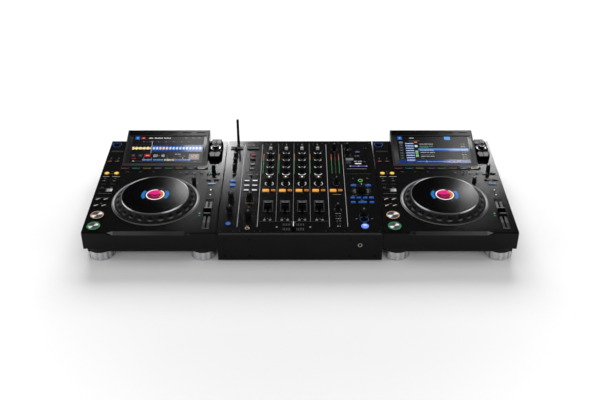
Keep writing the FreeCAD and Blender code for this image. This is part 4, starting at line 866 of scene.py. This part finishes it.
def display(side, centre):
    """The tilted display: grey frame, touch screen with its picture, and the strip of slot keys."""
    low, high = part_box("display_screens")
    thick = 1.6
    long = ((high.y - low.y) / MM - thick * math.sin(TILT)) / math.cos(TILT)
    half = long / 2
    y = low.y / MM - FRONT + half * math.cos(TILT)
    z = low.z / MM + thick * math.cos(TILT) + half * math.sin(TILT)
    tilt = Matrix.Rotation(TILT, 4, "X")
    glass = Piece(f"{side}_screen", "console", *(["display_screens"] if side == "left" else []),
                  slot="screen_glass")
    glass.at(centre, y, z, tilt)
    glass.block(221.2, long, 0.6, [(0, -thick), (0, -0.2), (0.25, 0.0)], "bezel")
    # the screen's opening narrows a little towards the rear; a near-black bar along its far edge is a
    # painted shadow under the strip
    glass.plate([(-97, -half + 1.2), (101, -half + 1.2), (101, half - 2.4), (-99, half - 2.4)],
                "glass", SUNK)
    glass.bar(1.0, half - 1.9, 216, 3.0, "recess", 0.05)
    view, shift = (deck_view, 1.8) if side == "left" else (list_view, -0.6)
    view(Screen(glass, 196, 109, shift))
    glass.done()

    # the dark strip behind the screen, up to the housing's bevelled edge, and its slot keys
    trim = Piece(f"{side}_display_trim", "console")
    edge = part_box(f"{side}_display_housing")[1].z / MM
    far = (edge - z) / math.sin(TILT) - 2.0
    trim.at(centre, y, z, tilt)
    trim.plate([(-112, half + 1.2), (112, half + 1.2), (112, far), (-112, far)], "strip", 0.04)
    for i in range(5):
        trim.at(centre - 68.4 + 39.7 * i, y, z, tilt @ Matrix.Translation((0, half + 12.5, 0)))
        trim.block(24, 3.4, 1.6, [(0.0, -0.3), (0.0, 0.25), (0.25, 0.4)], "panel", floor=False)
    trim.done()


def pod(side, centre):
    """The glossy raised block round the selector: four pale facets and a side edge line, a painted sheen, a
    dark collar, and a metal ring whose bright arcs are painted highlights.
    """
    x, y, wide, deep, low, high = [box for box in solids("selector_pods")
                                   if abs(box[0] - centre - 136.4) < 20][0]
    nodes = ["selector_pods"] if side == "left" else []
    piece = Piece(f"{side}_pod", "console", *nodes, slot="gloss_black")
    piece.at(x, y)

    def outline(inset):
        w, d, cx, cy, front = wide / 2 - inset, deep / 2 - inset, 6.5 - inset * 0.4, 20 - inset * 0.4, 3.5
        return [(w, d - cy), (w - cx, d), (-w + cx, d), (-w, d - cy), (-w, -d + cy), (-w + cx, -d + front),
                (w - cx, -d + front), (w, -d + cy)]

    piece.loft(outline, [(0, low), (0, high - 3.5), (0.5, high - 2.2), (2.2, high - 0.8), (3.0, high - 0.6)],
               "recess")
    piece.at(x, y, high - 0.6)
    # the pale tones of the four facets and the edge line are a painted sheen on the glossy block
    for look, shape in (("lip", ((0.8, 27), (11, 24), (15, 31), (11.4, 46.5), (0.8, 46.5))),
                        ("pod_face", ((0.8, -22), (11, -19.5), (15.2, -27), (11.6, -43.6), (0.8, -43.6)))):
        for sign in (-1, 1):
            piece.plate([(sign * a, b) for a, b in shape], look, 0.08)
    piece.line(15.8, -20, 15.8, 20, 0.9, "edge", 0.08)
    piece.ring([(13.2, -0.4), (17.2, -0.4), (17.4, 0.1), (17.0, 0.5), (14.0, 0.6)], "recess", 72)
    # these arcs, bright to the left and right of the ring and paler or dim elsewhere, are painted highlights
    piece.arc(0, 0, 15.4, 16.9, 20, 160, "print_pale", 0.66, 32)
    for start, end, look in ((150, 205, "white_lit"), (-25, 30, "white_lit"), (212, 245, "print_pale"),
                             (285, 330, "print_dim"), (35, 75, "print_pale")):
        piece.arc(0, 0, 10.2, 13.4, start, end, look, 0.95, 12)
    piece.ring([(13.6, 0.0), (13.4, 0.7), (12.4, 0.9), (10.8, 0.2), (10.4, -0.4)], "dark_metal", 72)
    piece.done()


# ---------------------------------------------------------------- the mixer
def mixer():
    keys = Piece("mixer_key_caps", "mixer_keys", "mixer_buttons", slot="key_plastic")
    for box in solids("mixer_buttons"):
        x, y, wide, deep, _, _ = box
        if x < -160 and y > 100:
            key_cap(keys, box, "blue_dim", corner=1.5, window="blue_lit")
        elif x < -160:
            key_cap(keys, box, corner="round", window="blue_lit")
        elif x < 0 and y > 280:
            look = "red_lit" if y > 360 else "recess" if y > 335 else "print_grey" if y > 310 else "ui_grey"
            key_cap(keys, box, window=look, edge=0.4)
        elif y > 290:
            key_cap(keys, box, window="ui_violet")
        elif x < 0:
            key_cap(keys, box, "print_dim", corner=1.0)
            keys.bar(0, 1.7 - deep / 2, wide - 1.6, 2.8, "white_lit")
        else:
            key_cap(keys, box, "blue_dim", corner=1.5)
            keys.bar(0, 0, wide - 3.0, deep - 3.4, "blue_lit")
    keys.done()

    # a wide cue key beside a narrow link key with a lit outline
    cues = Piece("mixer_cue_caps", "cue_keys", "cue_buttons", slot="orange_key")
    for box in solids("cue_buttons"):
        wide, deep = box[2:4]
        if wide > 14:
            key_cap(cues, box, "orange_lit")
        else:
            key_cap(cues, box, "orange_dim", border="orange_lit", width=1.0)
            cues.bar(0, 0, wide - 4.2, deep - 4.2, "orange_dim", 0.12)
        cues.words(0, 0, (3,), "ui_cream" if wide > 14 else "orange_lit", 2.0, 0.14)
    cues.done()

    effect = Piece("effect_on_cap", "effect_on", "effect_on_button", slot="blue_key")
    key_cap(effect, solids("effect_on_button")[0], "sky_lit", corner="round", edge=0.8)
    effect.plate(rounded(9.0, 5.0, 2.4), "effect_top", PRINT, 0, 2.6)
    effect.done()

    # the fixed knobs: the top one of each channel has a pale front, the lowest a lit cap
    knobs = Piece("mixer_knob_caps", "console", "mixer_knobs", slot="knob_plastic")
    skirt = 1.3
    for x, y, wide, _, _, high in solids("mixer_knobs"):
        in_channel = abs(x) < 90
        colour = in_channel and 220 < y < 230
        knob_cap(knobs, x, y, DECK + 0.02, high, wide / 2 - skirt, skirt, None if colour else "print_white",
                 patch="print_white" if in_channel and y > 380 else None)
        if colour:
            knobs.at(x, y, high - 0.3)
            knobs.plate(rounded(4.4, 4.6, 1.4), "white_lit", 0.32, 0, 4.9)
            for sign in (-1, 1):
                knobs.line(sign * 6.2, 1.5, sign * 6.2, 5.0, 1.6, "pad_amber", 0.3)
    knobs.done()

    for name, body in (("master_level_knob", "master_level_knob_body"),
                       ("headphone_level_knob", "headphone_level_knob_body"),
                       ("effect_depth_knob", "effect_depth_knob_body"),
                       ("effect_selector_knob", "effect_selector")):
        x, y, wide, _, low, high = solids(name)[0]
        knob = Piece(f"{name}_cap", body, name, slot="knob_plastic")
        knob_cap(knob, x, y, DECK + 0.4, high, wide / 2, flutes=24 if wide > 16 else 20, stem=low)
        knob.done()

    for channel in range(1, 5):
        node = f"channel_fader_{channel}"
        box = solids(node)[0]
        cap = Piece(f"channel_{channel}_cap", f"channel_{channel}", node, slot="knob_plastic")
        fader_cap(cap, box, (box[3] / 2 - 2.4,), 2.0)
        cap.done()
    cap = Piece("crossfader_cap", "crossfader_carriage", "crossfader", slot="knob_plastic")
    fader_cap(cap, solids("crossfader")[0], (0,), 2.0, across=True, line="white_lit")
    cap.done()

    switches = Piece("switch_caps", "console", "selector_switches", slot="knob_plastic")
    for x, y, wide, deep, low, high in solids("selector_switches"):
        switches.at(x, y)
        switches.block(wide, deep, 0.8, [(0, low + 0.02), (0, low + 0.8), (0.3, low + 1.0)], "gloss")
        switches.block(4.4, deep - 1.4, 0.6, [(0, low + 1.0), (0, high - 0.5), (0.4, high)], "knob")
    switches.done()

    print_mixer()
    jack_sleeves()
    mixer_display()


def print_channel(deck, x):
    """A channel's column: the scales of its knobs, its captions and its fader panel."""
    # two side arcs and a dot for each knob, and a full smile under the lowest
    deck.arc(x, 274.5, 9.2, 10.7, -165, -15, "white_lit", 0.05, 28)
    for y in (311, 348, 385):
        for start in (-160, -65):
            deck.arc(x, y, 9.2, 10.5, start, start + 45, "white_lit", 0.05, 10)
        deck.bar(x, y - 10.2, 1.4, 1.4, "white_lit", 0.05)
        deck.bars("print_grey", (x - 11.6, y + 4.5, 1.2, 1.2), (x + 11.6, y + 4.5, 1.2, 1.2))
    for start in (125, -55):
        deck.arc(x, 222, 10.0, 10.9, start, start + 110, "white_lit", 0.05, 18)
    deck.words(x, 206.5, (5,), "print_pale", 1.5)
    deck.words(x, 402, (4,), "print_white", 1.8)
    deck.words(x - 12, 430, (1,), "print_grey", 3.0)
    deck.words(x, 176.5, (3, 4), "print_dim", 1.5)
    # the fader's panel, its slot and its two columns of marks
    deck.plate(rounded(26, 50, 1.5), "grey_panel", 0.04, x, 115.5)
    deck.bar(x, 139.4, 24, 1.2, "print_grey")
    deck.plate(rounded(20.5, 44, 1.0), "panel", 0.05, x, 115)
    deck.bar(x, 86, 20, 5.0, "recess", 0.05)
    deck.bar(x, 111.5, 3, 56, "recess", 0.07)
    for k in range(9):
        off, wide = (5.6, 2.4) if k % 4 else (6.2, 3.6)
        deck.bars("print_grey", *((x + sign * off, 91 + 5.5 * k, wide, 0.6) for sign in (-1, 1)))
    for k in (-1, 0, 1):
        deck.words(x + 7.5 * k, 62, (1,), "print_white", 2.2)
    deck.bars("print_white", (x, 428, 2.2, 2.2), (x - 6.8, 54.5, 6.0, 2.0), (x + 6.8, 54.5, 6.0, 2.0))


def print_mixer():
    """What is printed on, let into or lit in the mixer's deck and front."""
    deck = Piece("mixer_print", "console")
    deck.at(0, 0, DECK)
    deck.bars("print_grey", *((x, 240, 0.7, 384) for x in (-60.3, -17.1, 26)))
    deck.bars("print_dim", (-16.3, 48, 176, 0.6), (-16.3, 205, 176, 0.5), (156, 270, 70, 0.6))
    for x, wide in ((MIC_X + 1, 32), (-130.5, 33)):
        deck.bar(x, 404.5, wide + 2, 22, "recess", 0.08)
        deck.bar(x, 408.0, wide - 1, 8.0, "print_dim", 0.1)
    for x in CHANNELS:
        print_channel(deck, x)
    # level meters: four of the channels, and two of the master with red tops
    pitch, near, amber, count = 6.8, 276, 10, 15
    for x, red in ((-100, 15), (-57.4, 15), (-15.5, 15), (27.8, 15), (86.5, 13), (107, 13)):
        deck.bar(x, 324, 4.0, 105, "gloss", SUNK)
        for k in range(count):
            look = "meter_green" if k < amber else "meter_amber" if k < red else "meter_red"
            deck.bar(x, near + pitch * k, 1.7, 5.4, look, 0.07)
    deck.bars("print_grey", *((96.7, near + pitch * k, 3.0, 0.8) for k in range(count + 1)))
    # crossfader scale and the mark at each end
    for k in range(5):
        for x in (-41.5, -7.6):
            deck.bars("print_dim", (x + 4.1 * k, 34.5, 1.2, 10), (x + 4.1 * k, 15.5, 1.2, 11))
    deck.bar(-16.2, 24, 50, 3.0, "recess", 0.07)
    deck.bars("print_pale", (-57.5, 24, 3.6, 3.6), (25.4, 24, 3.6, 3.6))
    deck.bars("print_white", (-16.2, 45, 10, 1.4))
    # captions of the side columns
    deck.captions("print_grey", 1.8, {
        MIC_X: [(425, 3, 4), (398, 4), (367, 3), (337, 2), (307, 3),
                (222.5, 5), (164, 5), (104, 4), (48, 2)],
        PHONES_X: [(425, 4), (398, 5), (374, 3), (349, 4), (325, 4), (301, 4), (112, 5), (84, 5)],
        MASTER_X: [(386, 5), (247, 3, 4), (212, 5)], 132.5: [(414, 4), (380, 4)],
        141: [(248, 3), (219, 3), (164, 4, 4)], EFFECT_X: [(391, 4), (248, 2), (92, 5)], 180: [(219, 4)]})
    deck.captions("print_pale", 1.8, {
        MIC_X: [(272, 3, 3)], -134: [(268, 4, 5)], MASTER_X: [(415, 6), (118, 4, 3), (50, 4, 4)],
        141: [(60, 3)], 158: [(364, 4, 5)], EFFECT_X: [(143, 6)], 180: [(60, 3)]})
    deck.captions("print_white", 1.8, {
        -115: [(268, 3)], MASTER_X: [(83, 5, 5), (72, 2, 3, 2), (61, 2, 3, 2), (28, 4, 2)]})
    deck.captions("print_yellow", 1.8, {
        PHONES_X: [(130, 8, 8), (28, 6)], MASTER_X: [(170, 8, 8)], 180: [(248, 4)]})
    deck.captions("ui_sky", 1.8, {EFFECT_X: [(43, 5)]})
    # dots round the knobs of the side columns
    for x, radius, *places in ((MIC_X, 11, 150, 90), (PHONES_X, 11, 150, 68), (EFFECT_X, 11, 75),
                               (MASTER_X, 9.4, 225, 100), (MASTER_X, 9, 399),
                               (MIC_X, 8.6, 292, 322, 352, 382), (132.5, 8.6, 365, 402)):
        for y in places:
            for k in range(11):
                turn = math.radians(-60 + 30 * k)
                across, along = radius * math.cos(turn), radius * math.sin(turn)
                deck.bar(x + across, y + along, 0.9, 0.9, "print_pale", 0.05)
    # scales of the effect selector, the ring over it, two dim arcs to its left and right that are a painted
    # highlight on its skirt, a green ring, and the ring round the effect key
    selector_y, scale = 187, 24.5
    for k in range(14):
        turn = math.radians(-50 + 20 * k)
        deck.words(EFFECT_X + scale * math.cos(turn), selector_y + scale * math.sin(turn), (2,))
    for y, *row in ((selector_y, 19.8, 21.0, -200, 20, "silver", 0.05, 48),
                    (selector_y, 15.0, 19.6, 150, 210, "print_dim", PRINT, 16),
                    (selector_y, 15.0, 19.6, -30, 30, "print_dim", PRINT, 16),
                    (237, 4.6, 6.2, 0, 360, "green_lit", 0.07, 32),
                    (58, 10.4, 11.6, 0, 360, "blue_dim", PRINT, 40)):
        deck.arc(EFFECT_X, y, *row)
    # small screw heads near the panel's edges
    for x in (-196, -164, -148, -112, -98, 64, 82, 110, 126, 196):
        for y in (7, 433):
            deck.arc(x, y, 0.1, 1.7, 0, 360, "steel", 0.1, 16)
    # a paler band along the top of the front, a painted highlight on its top edge
    deck.at(0, 0, 0, UPRIGHT)
    deck.bar(0, DECK - 3.6, 399, 6.0, "lip", 0.0)
    deck.done()


def jack_sleeves():
    """The two phone jacks, in the deck and in the front plate, each with a cream ring."""
    rings = Piece("jack_sleeves", "console", "headphone_jacks", slot="connector")
    for pose, deep in ((Matrix.Translation((PHONES_X, 18 + FRONT, DECK + 1)), 32),
                       (Matrix.Translation((148, FRONT + 0.05, 50)) @ UPRIGHT, 31.9)):
        rings.pose = pose
        rings.ring([(3.2, -deep + 2), (3.2, -0.1, "recess"), (4.0, -0.05, "recess"),
                    (4.2, 0.0, "print_cream"), (5.3, 0.0, "print_cream"), (5.5, -0.1),
                    (5.95, -0.3), (5.95, -deep)], "panel", 48)
        rings.arc(0, 0, 0.0, 3.3, 0, 360, "recess", 1.5 - deep)
    rings.done()


def mixer_display():
    """The mixer's small screen, with generic marks."""
    low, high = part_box("mixer_screen")
    x, y = (low.x + high.x) / 2 / MM, (low.y + high.y) / 2 / MM - FRONT
    wide, deep = (high.x - low.x) / MM, (high.y - low.y) / MM
    piece = Piece("mixer_screen_face", "console", "mixer_screen", slot="screen_glass")
    piece.at(x, y)
    piece.block(wide, deep, 1.5, [(0, low.z / MM), (0, high.z / MM - 0.5), (0.5, high.z / MM)], "glass")
    piece.at(x, y, high.z / MM)
    screen = Screen(piece, wide - 6, deep - 12)
    screen.rects((-0.02, -0.05, 0.32, 0.2, "grey", 0.05), (-0.02, 0.2, 0.2, 0.55, "dim", 0.05),
                 (0.38, 0.50, 0.66, 0.60, "white"), (0.1, 0.78, 0.92, 0.86, "violet"),
                 *((u, 0.79, u + 0.05, 0.85, "white", 0.12) for u in (0.14, 0.5, 0.86)))
    screen.words((0.52, 0.30, (4, 5), "white", 3.0), (0.8, 0.34, (2, 3), "grey", 2.2))
    piece.bar(-3, -deep / 2 + 1.2, wide - 14, 1.4, "print_grey", 0.05)
    piece.done()


# ---------------------------------------------------------------- feet, screws and sockets
def feet():
    """Turned aluminium feet, each about its own axis: their light and dark vertical bands are a painted
    reflection, and their near-black tops are painted shade.
    """
    for index, (x, y, wide, _, low, high) in enumerate(solids("player_feet")):
        piece = Piece(f"aluminium_foot_{index + 1}", "console", *(["player_feet"] if index == 0 else []),
                      slot="silver")
        piece.at(x, y)
        levels = [(1.6, low), (0.6, low + 0.6), (0.0, low + 1.2), (0.0, high - 0.5), (0.5, high)]
        piece.disc(wide / 2, levels, "brushed", 96, cap="recess")
        piece.done(spin=(x, y))


def screw_heads():
    """Cross-head screws: dark ones in the mixer's front plate, steel ones under the pans."""
    piece = Piece("screw_heads", "console", "case_screws", slot="screw_steel")
    for x, y, _, deep, low, high in solids("case_screws"):
        if y < 20:
            look, long = "recess", deep
            piece.at(x, y - deep / 2 + 0.02, (low + high) / 2, UPRIGHT)
        else:
            look, long = "steel", high - low
            piece.at(x, y, low, Matrix.Rotation(math.pi, 4, "X"))
        piece.disc(3, [(1.4, -long), (1.4, -1.2), (0.0, -1.0), (0, -0.35), (0.5, 0)], look, 32)
        piece.bar(0, 0, 3.2, 0.7, "gloss", 0.01)
        piece.bar(0, 0, 0.7, 3.2, "gloss", 0.012)
    piece.done()


def rear_sockets():
    """Coloured and gilded fittings over the plain rear sockets."""
    piece = Piece("rear_fittings", "console")
    back = Matrix.Rotation(-math.pi / 2, 4, "X")
    red_on_players = (-354.4, 405.4)
    for x, y, wide, deep, low, high in solids("connector_sockets"):
        rear, z = y + deep / 2, (low + high) / 2
        if wide < 13 and y > 440:
            # phono sockets: a gilded sleeve round a white or red core, red in the mixer's lower row
            piece.at(x, rear - 0.2, z, back)
            red = (low < 60 and abs(x) < 200) or any(abs(x - place) < 1 for place in red_on_players)
            piece.ring([(4.25, -7.6), (4.25, -0.4), (4.0, 0.0), (3.4, 0.0), (3.3, -0.6)], "gold", 40)
            piece.ring([(3.3, -1.2), (1.5, -1.0), (1.4, -3)], "socket_red" if red else "socket_white", 32)
        elif 13 <= wide < 20 and y > 428:
            # network sockets: eight gilded contacts
            piece.at(x, rear, z, back)
            piece.bars("gold", *((-3.5 + k, 4.4, 0.5, 3.0) for k in range(8)), lift=-2.0)
        elif wide > 20:
            # power inlets: three steel blades
            for dx, dz in ((-5, 1), (5, 1), (0, -3)):
                piece.at(x + dx, rear - 15.5, z + dz, back)
                piece.block(2.0, 4.4, 0.4, [(0, 0), (0, 8.5), (0.5, 9.5)], "steel")
    piece.done()


# ---------------------------------------------------------------- CAD nodes that stay
FINISHES = {
    "case": ("left_top_case", "right_top_case", "mixer_case"), "front": ("mixer_front_panel",),
    "bezel": ("left_display_housing", "right_display_housing"), "bearing": ("jog_bearings",),
    "sheet": ("player_bottom_pans", "mixer_base", "power_supplies"), "rubber": ("rubber_feet",),
    "board": ("circuit_boards",), "gloss": ("jog_displays",), "panel": ("fader_tracks", "connector_sockets"),
    "print_pale": ("divider_strips",), "knob": ("antenna",),
}
for look, nodes in FINISHES.items():
    for node in nodes:
        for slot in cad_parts[node].material_slots:
            slot.material = LOOKS[look]

player("left")
player("right")
mixer()
jog_collars()
feet()
screw_heads()
rear_sockets()


# ---------------------------------------------------------------- floor, lights and camera
def white_surround(tree):
    """A glow that only the camera, mirrors and glass see, faint by the object and white far from it."""
    near, far = 0.45, 1.6
    distance = node_of(tree, "VectorMath", {0: node_of(tree, "TexCoord", {})["Object"]}, operation="LENGTH")
    fade = node_of(tree, "MapRange", {"Value": distance["Value"], "From Min": near, "From Max": far,
                                      "To Min": 0.06, "To Max": 0.6}, interpolation_type="SMOOTHSTEP")
    path = node_of(tree, "LightPath", {})
    seen = maths(tree, "MAXIMUM", path["Is Camera Ray"], path["Is Glossy Ray"])
    seen = maths(tree, "MAXIMUM", seen, path["Is Transmission Ray"])
    return maths(tree, "MULTIPLY", fade["Result"], seen)


def floor():
    """A round floor, in metres, that curves up into the backdrop on all sides."""
    around, rows = 96, [(4, 0), (6, 0), (7.0, 0.15), (7.6, 0.6), (7.8, 1.2), (7.8, 2.8)]
    points = [(0.0, 0.0, 0.0)]
    points += [(x, y, height) for radius, height in rows for x, y in circle(radius, around)]
    faces = [(0, 1 + i, 1 + (i + 1) % around) for i in range(around)]
    for row in range(len(rows) - 1):
        a, b = 1 + row * around, 1 + (row + 1) * around
        faces += [(a + i, b + i, b + (i + 1) % around, a + (i + 1) % around) for i in range(around)]
    mesh = bpy.data.meshes.new("floor")
    mesh.from_pydata(points, [], faces)
    mesh.polygons.foreach_set("use_smooth", [True] * len(faces))
    made = bpy.data.objects.new("floor", mesh)
    bpy.context.scene.collection.objects.link(made)
    paint, tree, shader = blank("floor")
    tint = ramp(tree, noise(tree, 3.0, 2.0), ((0, (0.79, 0.79, 0.79)), (1, (0.81, 0.81, 0.81))))
    feed(tree, shader, {"Base Color": tint, "Roughness": 0.9, "Specular IOR Level": 0.1,
                        "Emission Color": (1, 1, 1, 1), "Emission Strength": white_surround(tree)})
    mesh.materials.append(paint)


def softbox(name, place, aim, size, power, glossy=True, spread=180):
    lamp = bpy.data.lights.new(name, "AREA")
    lamp.shape = "RECTANGLE"
    lamp.size, lamp.size_y = size
    lamp.energy = power
    lamp.spread = math.radians(spread)
    made = bpy.data.objects.new(name, lamp)
    made.location = place
    made.rotation_euler = (Vector(aim) - Vector(place)).to_track_quat("-Z", "Y").to_euler()
    made.visible_camera = False
    made.visible_glossy = glossy
    bpy.context.scene.collection.objects.link(made)


# Large soft lamps, then narrow beams whose mirror images give the decks and jog plates their sheen.
floor()
softbox("overhead", (0.0, 0.13, 2.5), (0, 0.13, 0), (3.2, 1.65), 24)
softbox("back", (0.0, 3.2, 2.4), (0, 0, 0), (4.0, 2.0), 190, glossy=False)
softbox("front_fill", (0.0, -2.5, 1.9), (0, 0, 0), (1.7, 0.7), 9)
softbox("left_high", (-0.60, 1.83, 2.6), (-0.29, 0.16, 0.1), (0.22, 0.5), 2.2)
softbox("right_high", (1.05, 1.83, 2.6), (0.45, 0.16, 0.1), (0.22, 0.5), 2.2)
softbox("left_low", (-0.403, 2.11, 1.2), (-0.24, 0.23, 0.1), (0.16, 0.16), 0.0165, spread=9)
softbox("right_low", (1.049, 2.11, 1.2), (0.56, 0.23, 0.1), (0.16, 0.16), 0.0155, spread=9)
softbox("left_plate", (-0.592, 1.898, 1.363), (-0.30, -0.045, 0.106), (0.07, 0.07), 0.0006, spread=5)
softbox("right_plate", (0.892, 1.898, 1.363), (0.446, -0.045, 0.106), (0.07, 0.07), 0.0006, spread=5)
softbox("left_side", (-2.2, -1.1, 1.0), (-0.3, 0, 0.1), (1.6, 0.5), 14)
softbox("right_side", (2.2, -1.1, 1.0), (0.3, 0, 0.1), (1.6, 0.5), 14)

world = bpy.data.worlds.new("studio")
world.use_nodes = True
world.node_tree.nodes["Background"].inputs["Color"].default_value = (0.03, 0.03, 0.031, 1)
bpy.context.scene.world = world

camera = bpy.data.objects.new("camera", bpy.data.cameras.new("camera"))
camera.location = (0.0, -1.988, 1.363)
camera.rotation_euler = (math.radians(56.2), 0, 0)
camera.data.lens = 53.4
camera.data.sensor_width = 36
camera.data.clip_end = 60
bpy.context.scene.collection.objects.link(camera)
bpy.context.scene.camera = camera
bpy.context.scene.view_settings.view_transform = "Standard"
